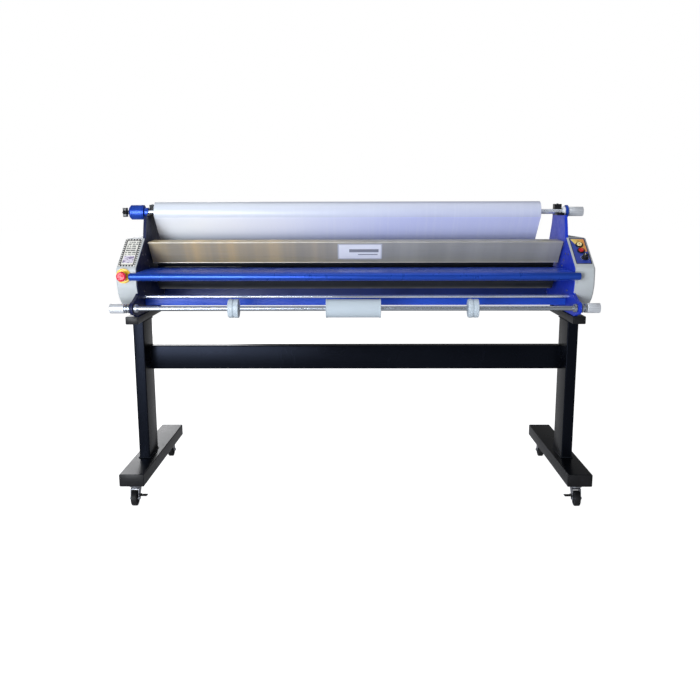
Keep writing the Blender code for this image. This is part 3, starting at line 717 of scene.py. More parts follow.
def lobed(radius: float, depth: float, lobes: int, power: float = 1.0, steps: int = 6) -> list[Point]:
    """A circle with soft hollows between its lobes.

    Args:
        radius: Its radius over the lobes.
        depth: How deep the hollows are.
        lobes: How many lobes it has.
        power: More than 1 for wider lobes, less for narrower ones.
        steps: Facets for each lobe.

    Returns:
        The outline's points.
    """
    ring = []
    for i in range(lobes * steps):
        angle = math.tau * i / (lobes * steps)
        reach = radius - depth * (0.5 - 0.5 * math.cos(lobes * angle)) ** power
        ring.append((reach * math.cos(angle), reach * math.sin(angle)))
    return ring


def round_box(node: str) -> tuple[Vector, Vector, float]:
    """A turned node's box and its radius."""
    low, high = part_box(node)
    return low, high, (high.z - low.z) / 2


def leaning(top: Point, foot: Point, x: float, down: float, lift: float = 0.0) -> Matrix:
    """A frame on a leaning face: X across, Y up the face, Z out of it.

    Args:
        top: The face's upper edge, in Y and Z.
        foot: Its lower edge.
        x: The frame's place along X.
        down: Its distance from the upper edge.
        lift: Its height over the face.

    Returns:
        The frame's matrix.
    """
    along = (Vector(foot) - Vector(top)).normalized()
    out = Vector((along.y, -along.x))
    place = Vector(top) + along * down + out * lift
    return Matrix((
        (1.0, 0.0, 0.0, x),
        (0.0, -along.x, out.x, place.x),
        (0.0, -along.y, out.y, place.y),
        (0.0, 0.0, 0.0, 1.0),
    ))


def facing(place: Matrix) -> Vector:
    """The direction of a frame's Z."""
    return (place.to_3x3() @ Vector((0, 0, 1))).normalized()


def arc(centre: Point, radius: float, start: float, end: float, steps: int) -> list[Point]:
    """Points on an arc in a plane, its angles in degrees."""
    turns = [math.radians(start + (end - start) * i / steps) for i in range(steps + 1)]
    return [(centre[0] + radius * math.cos(a), centre[1] + radius * math.sin(a)) for a in turns]


def prism(outline: Sequence[Point], x_from: float, x_to: float, edge: float = 0.0,
          segments: int = 2) -> bmesh.types.BMesh:
    """Extrudes a side outline of (Y, Z) points along X.

    Args:
        outline: The closed outline.
        x_from: Where it starts.
        x_to: Where it ends.
        edge: The rounding of its sharp edges.
        segments: The rounding's facets.

    Returns:
        The prism's bmesh.
    """
    bm = bmesh.new()
    face = bm.faces.new([bm.verts.new((x_from, y, z)) for y, z in outline])
    swept = bmesh.ops.extrude_face_region(bm, geom=[face])
    moved = [part for part in swept["geom"] if isinstance(part, bmesh.types.BMVert)]
    bmesh.ops.translate(bm, vec=(x_to - x_from, 0.0, 0.0), verts=moved)
    bmesh.ops.recalc_face_normals(bm, faces=bm.faces)
    if edge:
        round_edges(bm, sharp_edges(bm), edge, segments)
    return bm


def eased(path: Sequence[Point], radius: float, steps: int = 5) -> list[Point]:
    """Rounds the inner corners of an open path to a bend radius.

    Args:
        path: The path's points.
        radius: The bends' radius.
        steps: Facets of each bend.

    Returns:
        The path with its bends.
    """
    points = [Vector(p) for p in path]
    smooth = [points[0]]
    for before, here, after in zip(points, points[1:], points[2:]):
        back, ahead = (before - here).normalized(), (after - here).normalized()
        half = back.angle(ahead) / 2
        reach = min(radius / math.tan(half), (before - here).length * 0.45, (after - here).length * 0.45)
        start, end = here + back * reach, here + ahead * reach
        for i in range(steps + 1):
            t = i / steps
            smooth.append(start * (1 - t) ** 2 + here * (2 * t * (1 - t)) + end * t ** 2)
    smooth.append(points[-1])
    return [tuple(p) for p in smooth]


def folded(path: Sequence[Point], thickness: float, x_from: float, x_to: float, bend: float) -> bmesh.types.BMesh:
    """A folded sheet whose right-hand face follows a side path.

    Args:
        path: The (Y, Z) points of the face that the thickness lies behind.
        thickness: The sheet's thickness.
        x_from: Where it starts along X.
        x_to: Where it ends.
        bend: The radius of its folds.

    Returns:
        The sheet's bmesh.
    """
    front = [Vector(p) for p in eased(path, bend)]
    back = []
    for i, here in enumerate(front):
        before, after = front[max(i - 1, 0)], front[min(i + 1, len(front) - 1)]
        way = (after - before).normalized()
        back.append(here + Vector((-way.y, way.x)) * thickness)
    outline = [tuple(p) for p in front + back[::-1]]
    return prism(outline, x_from, x_to)


def gather(meshes: Iterable[bmesh.types.BMesh]) -> bmesh.types.BMesh:
    """Puts several closed bodies into one bmesh.

    Args:
        meshes: The bodies, which are used up.

    Returns:
        The bmesh that holds them all.
    """
    whole = bmesh.new()
    for bm in meshes:
        carrier = bpy.data.meshes.new("carrier")
        bm.to_mesh(carrier)
        bm.free()
        whole.from_mesh(carrier)
        bpy.data.meshes.remove(carrier)
    return whole


def moved(bm: bmesh.types.BMesh, matrix: Matrix) -> bmesh.types.BMesh:
    """Carries a bmesh through a matrix."""
    bmesh.ops.transform(bm, matrix=matrix, verts=bm.verts)
    return bm


def rounded_slab(width: float, height: float, thickness: float, corner: float) -> bmesh.types.BMesh:
    """A flat slab with round corners and its own UV map, lying in X and Y with its face up.

    Args:
        width: Its size along X.
        height: Its size along Y.
        thickness: Its size along Z, from 0 up.
        corner: The radius of its corners.

    Returns:
        The slab's bmesh.
    """
    bm = bmesh.new()
    bmesh.ops.create_cube(bm, size=1.0)
    bmesh.ops.scale(bm, vec=(width, height, thickness), verts=bm.verts)
    bmesh.ops.translate(bm, vec=(0.0, 0.0, thickness / 2), verts=bm.verts)
    upright = [e for e in bm.edges if abs(e.verts[0].co.z - e.verts[1].co.z) > thickness * 0.9]
    round_edges(bm, upright, corner, 5)
    layer = bm.loops.layers.uv.new("UVMap")
    for face in bm.faces:
        for loop in face.loops:
            place = loop.vert.co
            loop[layer].uv = (place.x / width + 0.5, place.y / height + 0.5)
    return bm


def socket_screw(radius: float, height: float, place: Place, way: Vector) -> bmesh.types.BMesh:
    """A domed screw head with a hexagon socket.

    Args:
        radius: The head's radius.
        height: The head's height.
        place: The centre of its seat.
        way: The direction that it faces.

    Returns:
        The head's bmesh.
    """
    steps = 18
    dome = [(0.0, radius), (height * 0.45, radius), (height * 0.85, radius * 0.82), (height, radius * 0.5)]
    socket = [(height, radius * 0.48), (height * 0.45, radius * 0.46)]
    return turn(dome + socket, place, steps=steps, way=way)


def hex_bolt(radius: float, height: float, place: Place, way: Vector) -> bmesh.types.BMesh:
    """A hexagon head on a round washer.

    Args:
        radius: The head's radius.
        height: Its height over the seat.
        place: The centre of its seat.
        way: The direction that it faces.

    Returns:
        The bolt head's bmesh.
    """
    washer = turn([(0.0, radius * 1.45), (height * 0.22, radius * 1.45)], place, steps=20, way=way)
    head = turn([(height * 0.2, radius), (height * 0.86, radius), (height, radius * 0.82)], place, steps=6, way=way)
    return gather([washer, head])


def soft_bar(outline: Sequence[Point], x_from: float, x_to: float, centre: Place, edge: float,
             segments: int) -> bmesh.types.BMesh:
    """A bar along X with rounded ends.

    Args:
        outline: Its outline, about its axis.
        x_from: Where it starts.
        x_to: Where it ends.
        centre: A point on its axis, of which Y and Z are used.
        edge: The rounding of its ends.
        segments: The rounding's facets.

    Returns:
        The bar's bmesh.
    """
    bm = prism(outline, x_from, x_to)
    ends = [e for e in bm.edges if abs(e.verts[0].co.x - e.verts[1].co.x) < NEAR]
    round_edges(bm, ends, edge, segments)
    bmesh.ops.translate(bm, vec=(0.0, centre[1], centre[2]), verts=bm.verts)
    return bm


def fluted_grip(node: str, centre: Place, flutes: int = 16, depth: float = 0.0014) -> bmesh.types.BMesh:
    """A grip with rounded flutes along X, in a node's place.

    Args:
        node: The node.
        centre: A point on its axis, of which Y and Z are used.
        flutes: How many flutes it has.
        depth: How deep they are.

    Returns:
        The grip's bmesh.
    """
    low, high, radius = round_box(node)
    return soft_bar(lobed(radius, depth, flutes, 1.5), low.x, high.x, centre, 0.0016, 3)


# ---------------------------------------------------------------- workshop


@dataclass
class Workshop:
    """Turns finished meshes into pieces that ride on the machine's bodies."""

    nodes: dict
    joints: dict
    made: int = 0

    def piece(self, name: str, bm: bmesh.types.BMesh, finish: Finish, body: str, slot: str,
              stands_for: Sequence[str] = (), smooth: float = SMOOTH_ANGLE) -> bpy.types.Object:
        """Makes a piece.

        Args:
            name: Its name.
            bm: Its mesh, which is used up.
            finish: Its finish.
            body: The body that it rides on.
            slot: The record's material slot; not used.
            stands_for: CAD nodes that it replaces.
            smooth: The angle over which its edges stay sharp.

        Returns:
            The piece's object.
        """
        mesh = bpy.data.meshes.new(name)
        bm.to_mesh(mesh)
        bm.free()
        mesh.shade_smooth()
        mesh.set_sharp_from_angle(angle=smooth)
        mesh.materials.append(finish.material())
        made = bpy.data.objects.new(name, mesh)
        bpy.context.scene.collection.objects.link(made)
        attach(made, body)
        if stands_for:
            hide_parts(*stands_for)
        self.made += 1
        LOG.info("piece %s on %s", name, body)
        return made

    def hardware(self, name: str, meshes: Iterable[bmesh.types.BMesh], body: str = "frame") -> None:
        """Makes one piece of zinc-plated fasteners."""
        self.piece(name, gather(meshes), ZINC, body, "zinc_steel")

    def dress_node(self, node: str, finish: Finish) -> None:
        """Gives a CAD node that stays in view its finish.

        Args:
            node: The node.
            finish: Its finish.
        """
        for slot in self.nodes[node].material_slots:
            slot.material = finish.material()
        LOG.info("node %s dressed as %s", node, finish.name)

    def centre(self, joint: str) -> Vector:
        """A point on a hinge's axis."""
        return Vector(self.joints[joint]["pos_m"])


# ---------------------------------------------------------------- stand


@dataclass
class Stand:
    """Feet, legs, top rails and crossbeam, all rectangular tube."""

    shop: Workshop
    corner: float = 0.004
    wall: float = 0.003
    cap_depth: float = 0.0015
    bead: float = 0.004
    bolt: float = 0.0055

    def build(self) -> None:
        """Makes both sides and the beam between them."""
        for side in Side:
            self.tube(side.word + "_foot", Axis.Y)
            self.tube(side.word + "_top_rail", Axis.Y)
            self.tube(side.word + "_leg", Axis.Z)
            self.beads(side)
            self.bolts(side)
        self.tube("crossbeam", Axis.X)

    def tube(self, node: str, axis: Axis) -> None:
        """A tube with round corners, and plastic plugs in ends that show.

        Args:
            node: The node that it stands for.
            axis: The tube's direction.
        """
        low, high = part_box(node)
        bm = block(low, high, self.corner, 4, axis)
        way = Vector(axis.value)
        ends = [f for f in bm.faces if abs(f.normal.dot(way)) > 0.99]
        bmesh.ops.inset_individual(bm, faces=ends, thickness=self.wall, depth=0.0, use_even_offset=True)
        sunk = bmesh.ops.extrude_discrete_faces(bm, faces=ends)["faces"]
        for face in sunk:
            bmesh.ops.translate(bm, vec=-face.normal * 0.004, verts=face.verts)
        self.shop.piece(node + "_tube", bm, BLACK_STEEL, "frame", "black_powder_coat", [node])
        if axis is Axis.Y:
            for end in (low.y, high.y):
                self.plug(node, low, high, end)

    def plug(self, node: str, low: Vector, high: Vector, end: float) -> None:
        """A moulded plug with a thin rim, pushed into a tube's end.

        Args:
            node: The tube's node.
            low: The tube's lowest corner.
            high: Its highest corner.
            end: The end's place along Y.
        """
        way = 1 if end > 0 else -1
        rim_low = Vector((low.x + 0.0012, min(end, end + way * self.cap_depth), low.z + 0.0012))
        rim_high = Vector((high.x - 0.0012, max(end, end + way * self.cap_depth), high.z - 0.0012))
        rim = block(rim_low, rim_high, 0.0007, 2)
        inset = Vector((self.wall + 0.0002,) * 3)
        body_low, body_high = low + inset, high - inset
        body_low.y, body_high.y = sorted((end - way * 0.0038, end + way * 0.0002))
        name = "%s_plug_%s" % (node, "front" if way < 0 else "rear")
        self.shop.piece(name, gather([rim, block(body_low, body_high)]), BLACK_NYLON, "frame", "black_nylon")

    def beads(self, side: Side) -> None:
        """Weld beads where a leg meets its foot and its rail.

        Args:
            side: The machine's side.
        """
        low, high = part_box(side.word + "_leg")
        spread = Vector((self.bead, self.bead, 0.0))
        rings = []
        for z, way in ((low.z, 1), (high.z, -1)):
            start, stop = sorted((z - way * 0.0002, z + way * self.bead))
            rings.append(block((*(low - spread).xy, start), (*(high + spread).xy, stop), self.bead * 0.45, 3))
        self.shop.piece(side.word + "_leg_welds", gather(rings), WELD, "frame", "black_powder_coat")

    def bolts(self, side: Side) -> None:
        """Hexagon bolts through a leg's outer face into the crossbeam, and down through a rail.

        Args:
            side: The machine's side.
        """
        low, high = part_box(side.word + "_leg")
        beam_low, beam_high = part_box("crossbeam")
        x = high.x if side is Side.RIGHT else low.x
        way = Vector((side.value, 0, 0))
        middle = (beam_low + beam_high) / 2
        heads = [hex_bolt(self.bolt, 0.006, (x, middle.y, middle.z + lift), way) for lift in (-0.028, 0.028)]
        rail_low, rail_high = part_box(side.word + "_top_rail")
        for y in (rail_low.y + 0.05, rail_high.y - 0.05):
            seat = ((rail_low.x + rail_high.x) / 2, y, rail_low.z)
            heads.append(hex_bolt(self.bolt, 0.006, seat, Vector((0, 0, -1))))
        self.shop.hardware(side.word + "_stand_bolts", heads)


# ---------------------------------------------------------------- casters


@dataclass
class Caster:
    """One swivel caster with its wheel, and a brake pedal at the front."""

    shop: Workshop
    name: str
    arm_inner: float = 0.0145
    arm_thickness: float = 0.003
    head_low: float = 0.068
    axle_radius: float = 0.004

    def build(self) -> None:
        """Makes the plate, fork, wheel, axle and pedal."""
        self.swivel = self.shop.centre("caster_swivel_" + self.name)
        self.axle = self.shop.centre("caster_wheel_spin_" + self.name)
        self.plate()
        self.fork()
        self.wheel()
        if "front" in self.name:
            self.pedal()

    def plate(self) -> None:
        """The fixed mounting plate and its bolts."""
        x, y = self.swivel.x, self.swivel.y
        plate = block((x - 0.030, y - 0.036, 0.0912), (x + 0.030, y + 0.036, 0.0947), 0.0009, 2)
        heads = [hex_bolt(0.0048, 0.0042, (x + dx, y + dy, 0.0912), Vector((0, 0, -1)))
                 for dx in (-0.022, 0.022) for dy in (-0.028, 0.028)]
        self.shop.hardware("caster_plate_" + self.name, [plate] + heads)

    def fork(self) -> None:
        """Two pressed arms, their bridge, the swivel head and the axle bolt."""
        x, y = self.swivel.x, self.swivel.y
        trail = self.axle.y - y
        foot = arc((y + trail, self.axle.z), 0.0105, 200, 340, 10)
        outline = foot + [(y + 0.023, self.head_low + 0.001), (y + 0.023, self.head_low + 0.0035),
                          (y - 0.023, self.head_low + 0.0035), (y - 0.023, self.head_low + 0.001)]
        bodies = []
        for way in (-1, 1):
            inner = x + way * self.arm_inner
            bodies.append(prism(outline, inner, inner + way * self.arm_thickness, 0.0007, 2))
        reach = self.arm_inner + self.arm_thickness
        bodies.append(block((x - reach, y - 0.023, self.head_low), (x + reach, y + 0.023, self.head_low + 0.0034),
                            0.0012, 2))
        race = [(0.0712, 0.0185), (0.0745, 0.0235), (0.0770, 0.0262), (0.0815, 0.0262), (0.0828, 0.0245),
                (0.0838, 0.0262), (0.0885, 0.0262), (0.0900, 0.0240)]
        bodies.append(turn(race, (x, y, 0.0), Axis.Z, 48))
        axle = [(-reach - 0.0005, self.axle_radius), (reach + 0.0005, self.axle_radius)]
        bodies.append(turn(axle, self.axle, steps=16))
        for way in (-1, 1):
            seat = self.axle + Vector((way * reach, 0, 0))
            bodies.append(hex_bolt(0.0055, 0.0042, seat, Vector((way, 0, 0))))
        self.shop.piece("caster_fork_body_" + self.name, gather(bodies), ZINC, "swivel_" + self.name, "zinc_steel",
                        ["caster_fork_" + self.name])

    def wheel(self) -> None:
        """A rubber tread on a nylon hub."""
        half = 0.012
        tread = [(-half + 0.0008, 0.0228), (-half + 0.0008, 0.0290), (-half + 0.0022, 0.0312), (-0.0070, 0.0320),
                 (0.0070, 0.0320), (half - 0.0022, 0.0312), (half - 0.0008, 0.0290), (half - 0.0008, 0.0228)]
        self.shop.piece("caster_tread_" + self.name, turn(tread, self.axle, steps=ROUND, ring=True), TYRE_RUBBER,
                        "wheel_" + self.name, "caster_rubber", ["caster_wheel_" + self.name])
        rim = [(-half, 0.0048), (-half, 0.0090), (-0.0075, 0.0100), (-0.0065, 0.0200), (-half + 0.0004, 0.0212),
               (-half + 0.0004, 0.0227)]
        hub = mirrored(rim)
        spokes = []
        for i in range(5):
            fin = block((-0.0095, -0.0011, 0.0088), (0.0095, 0.0011, 0.0215), 0.0004, 1)
            bmesh.ops.rotate(fin, verts=fin.verts, cent=(0, 0, 0), matrix=Matrix.Rotation(math.tau * i / 5, 3, "X"))
            bmesh.ops.translate(fin, vec=self.axle, verts=fin.verts)
            spokes.append(fin)
        self.shop.piece("caster_hub_" + self.name, gather([turn(hub, self.axle, steps=48, ring=True)] + spokes),
                        HUB_NYLON, "wheel_" + self.name, "black_nylon")

    def pedal(self) -> None:
        """The brake pedal with its tread ribs and hinge barrel."""
        low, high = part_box("brake_pedal_" + self.name)
        pivot = self.shop.centre("brake_pedal_press_" + self.name)
        inward = 1 if abs(high.x - pivot.x) > abs(low.x - pivot.x) else -1
        tip = high.x if inward > 0 else low.x
        bodies = []
        start, stop = sorted((pivot.x, tip))
        bodies.append(block((start, pivot.y - 0.011, pivot.z - 0.0015), (stop, pivot.y + 0.011, pivot.z + 0.0015),
                            0.0012, 3))
        for i in range(4):
            x = tip - inward * (0.004 + 0.0042 * i)
            bodies.append(block((x - 0.0009, pivot.y - 0.009, pivot.z + 0.001),
                                (x + 0.0009, pivot.y + 0.009, pivot.z + 0.0026), 0.0004, 2))
        bodies.append(turn(mirrored([(-0.012, 0.0034), (-0.0115, 0.004)]), pivot, Axis.Y, 24))
        self.shop.piece("brake_pedal_body_" + self.name, gather(bodies), BLACK_NYLON, "pedal_" + self.name,
                        "zinc_steel", ["brake_pedal_" + self.name])


# ---------------------------------------------------------------- machine frame


@dataclass
class MachineFrame:
    """Side plates, covers, tables, tube and beam."""

    shop: Workshop
    screw_places: Sequence[Point] = ((-0.105, 1.0125), (-0.062, 1.0115), (-0.032, 0.985), (-0.009, 0.957),
                                     (-0.108, 0.8625), (0.205, 0.930), (0.205, 0.865))
    cover_outline: Sequence[Point] = ((-0.048, 1.078), (-0.205, 0.968), (-0.212, 0.961), (-0.212, 0.895),
                                      (-0.200, 0.860), (-0.182, 0.832), (-0.150, 0.806), (0.205, 0.806),
                                      (0.240, 0.835), (0.240, 1.045), (0.205, 1.078))
    cover_wall: float = 0.0025
    cover_round: float = 0.009

    def build(self) -> None:
        """Makes every fixed sheet and plate."""
        for side in Side:
            # The left plate gets a darker copy of the royal blue as painted shade.
            self.shop.dress_node(side.word + "_side_plate", ROYAL_BLUE if side is Side.RIGHT else SHADED_PLATE_BLUE)
            self.screws(side)
            self.cover(side)
        self.front_cover()
        self.tables()
        self.beam_and_tube()

    def screws(self, side: Side) -> None:
        """Screw heads on a plate's inner face.

        Args:
            side: The machine's side.
        """
        low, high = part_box(side.word + "_side_plate")
        x = low.x if side is Side.RIGHT else high.x
        way = Vector((-side.value, 0, 0))
        heads = [socket_screw(0.0042, 0.0026, (x, y, z), way) for y, z in self.screw_places]
        self.shop.hardware(side.word + "_plate_screws", heads)

    def cover(self, side: Side) -> None:
        """An end cover: a shell with soft outer edges, and its screws.

        Args:
            side: The machine's side.
        """
        low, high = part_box(side.word + "_end_cover")
        lap_x, outer = (low.x, high.x) if side is Side.RIGHT else (high.x, low.x)
        inner = side.value * 0.8973
        bm = prism(self.cover_outline, inner, outer)
        open_face = [f for f in bm.faces if abs(f.calc_center_median().x - inner) < 1e-6]
        bmesh.ops.delete(bm, geom=open_face, context="FACES_ONLY")
        rim = [e for e in bm.edges if all(abs(v.co.x - outer) < 1e-6 for v in e.verts)]
        lengthways = [e for e in bm.edges if len(e.link_faces) == 2 and e not in rim]
        round_edges(bm, rim + [e for e in lengthways if e.calc_face_angle() > 0.4], self.cover_round, 5)
        bmesh.ops.recalc_face_normals(bm, faces=bm.faces)
        bm.normal_update()
        if sum(f.normal.x * f.calc_area() for f in bm.faces) * side.value < 0:
            bmesh.ops.reverse_faces(bm, faces=bm.faces)
        bmesh.ops.solidify(bm, geom=bm.faces[:], thickness=self.cover_wall)
        bmesh.ops.recalc_face_normals(bm, faces=bm.faces)
        lap_path = list(self.cover_outline[:4]) + [(-0.2005, 0.8617)]
        lap = folded(lap_path, self.cover_wall, lap_x, inner + side.value * 0.001, self.cover_round)
        bm = gather([bm, lap])
        self.shop.piece(side.word + "_cover_shell", bm, CREAM, "frame", "cream_paint", [side.word + "_end_cover"])
        way = Vector((side.value, 0, 0))
        places = [(-0.165, 0.940), (-0.140, 0.835), (0.190, 0.832), (0.205, 1.045), (-0.035, 1.050)]
        heads = [socket_screw(0.0040, 0.0022, (outer, y, z), way) for y, z in places]
        self.shop.hardware(side.word + "_cover_screws", heads)

    def front_cover(self) -> None:
        """The leaning stainless cover with its top flange and bottom lip, and its blank nameplate."""
        low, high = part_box("front_cover")
        path = [(0.075, 1.0665), (-0.040, 1.0620), (0.036, 0.9700), (0.0405, 0.9712)]
        sheet = folded(path, 0.0015, low.x, high.x, 0.0025)
        self.shop.piece("front_cover_sheet", sheet, STAINLESS, "frame", "stainless", ["front_cover"])
        # The hems are in a lighter steel: a painted highlight along both edges of the cover.
        hems = []
        for y, z, height in ((-0.0405, 1.0600, 0.0022), (0.0352, 0.9712, 0.0030)):
            hems.append(block((low.x, y - 0.0012, z - height), (high.x, y + 0.0006, z), 0.0005, 2, Axis.X))
        self.shop.piece("front_cover_hems", gather(hems), HIGHLIGHT_HEM_STEEL, "frame", "stainless")
        lie = leaning(path[1], path[2], 0.020, 0.056)
        plate = moved(rounded_slab(0.190, 0.088, 0.0008, 0.004), lie)
        self.shop.piece("blank_nameplate", plate, PlatePrint("nameplate_print"), "frame", "stainless")

    def tables(self) -> None:
        """The feed table in front and the exit table behind."""
        low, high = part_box("feed_table")
        feed = [(0.018, 0.935), (0.022, 0.949), (-0.222, 0.949), (-0.222, 0.915), (-0.205, 0.915)]
        sheet = folded(feed, 0.0025, low.x, high.x, 0.004)
        self.shop.piece("feed_table_sheet", sheet, TABLE_BLUE, "frame", "blue_paint", ["feed_table"])
        rear = [(0.2335, 0.790), (0.250, 0.790), (0.250, 0.940), (0.148, 0.946), (0.144, 0.934)]
        sheets = [folded(rear, 0.0025, low.x - 0.0012, high.x + 0.0012, 0.004)]
        for start, stop in ((low.x - 0.012, low.x + 0.001), (high.x - 0.001, high.x + 0.012)):
            sheets.append(block((start, 0.2476, 0.7906), (stop, 0.2500, 0.8138), 0.0004, 2))
        # The exit table's blue is painted darker as shade.
        self.shop.piece("exit_table_sheet", gather(sheets), SHADED_REAR_BLUE, "frame", "blue_paint", ["exit_table"])

    def beam_and_tube(self) -> None:
        """The lower beam and the round tube along the table's front edge."""
        low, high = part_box("lower_front_beam")
        self.shop.piece("lower_beam_tube", block(low, high, 0.003, 4, Axis.X), BEAM_BLUE, "frame", "blue_paint",
                        ["lower_front_beam"])
        low, high, radius = round_box("front_tube")
        centre = (low + high) / 2
        half = (high.x - low.x) / 2
        end = [(-half, radius * 0.55), (-half + 0.0008, radius * 0.80), (-half + 0.003, radius * 0.95),
               (-half + 0.006, radius)]
        self.shop.piece("front_tube_bar", turn(mirrored(end), centre, steps=FINE_ROUND), TUBE_BLUE, "frame",
                        "anodised_blue", ["front_tube"])


# ---------------------------------------------------------------- rollers and drive


@dataclass
class Rollers:
    """The nip rollers, their bearings and drive, and the two free rods."""

    shop: Workshop

    def build(self) -> None:
        """Makes every roller and dresses the drive."""
        self.nip("upper")
        self.nip("lower")
        self.rod("idler_rod", "idler", "idler_spin")
        self.rod("film_guide_rod", "film_guide", "film_guide_spin")
        for side in Side:
            for level in ("upper", "lower"):
                self.shop.dress_node("%s_bearing_%s" % (level, side.word), BLACK_STEEL)
        self.shop.dress_node("gear_motor", MOTOR_GREY)
        self.shop.dress_node("motor_sprocket", GROUND)
        self.shop.dress_node("drive_chain", GROUND)

    def nip(self, level: str) -> None:
        """A rubber-covered roller and its stepped core.

        Args:
            level: "upper" or "lower".
        """
        _, high, radius = round_box(level + "_roller")
        centre = self.shop.centre(level + "_roller_spin")
        half, bore, ease = high.x, 0.0306, 0.0015
        rim = [(-half, bore), (-half, radius - ease), (-half + ease, radius)]
        cover = turn(mirrored(rim), centre, steps=FINE_ROUND, ring=True)
        body = level + "_nip_roller"
        self.shop.piece(level + "_roller_cover", cover, ROLLER_RUBBER, body, "roller_rubber", [level + "_roller"])
        self.shop.dress_node(level + "_roller_core", GROUND)

    def rod(self, node: str, body: str, joint: str) -> None:
        """A chromed rod with stepped, chamfered ends.

        Args:
            node: The node that it stands for.
            body: The body that it rides on.
            joint: The joint that it turns on.
        """
        _, high, radius = round_box(node)
        centre = self.shop.centre(joint)
        end = 0.883 if radius > 0.01 else high.x
        rim = [(-end, radius - 0.0008), (-end + 0.0008, radius)]
        if radius > 0.01:
            rim = [(-high.x, 0.0055), (-high.x + 0.0005, 0.006), (-end, 0.006)] + rim
        bar = turn(mirrored(rim), (0.0, centre.y, centre.z), steps=ROUND)
        self.shop.piece(node + "_bar", bar, CHROME, body, "chrome_rod", [node])


# ---------------------------------------------------------------- film supply


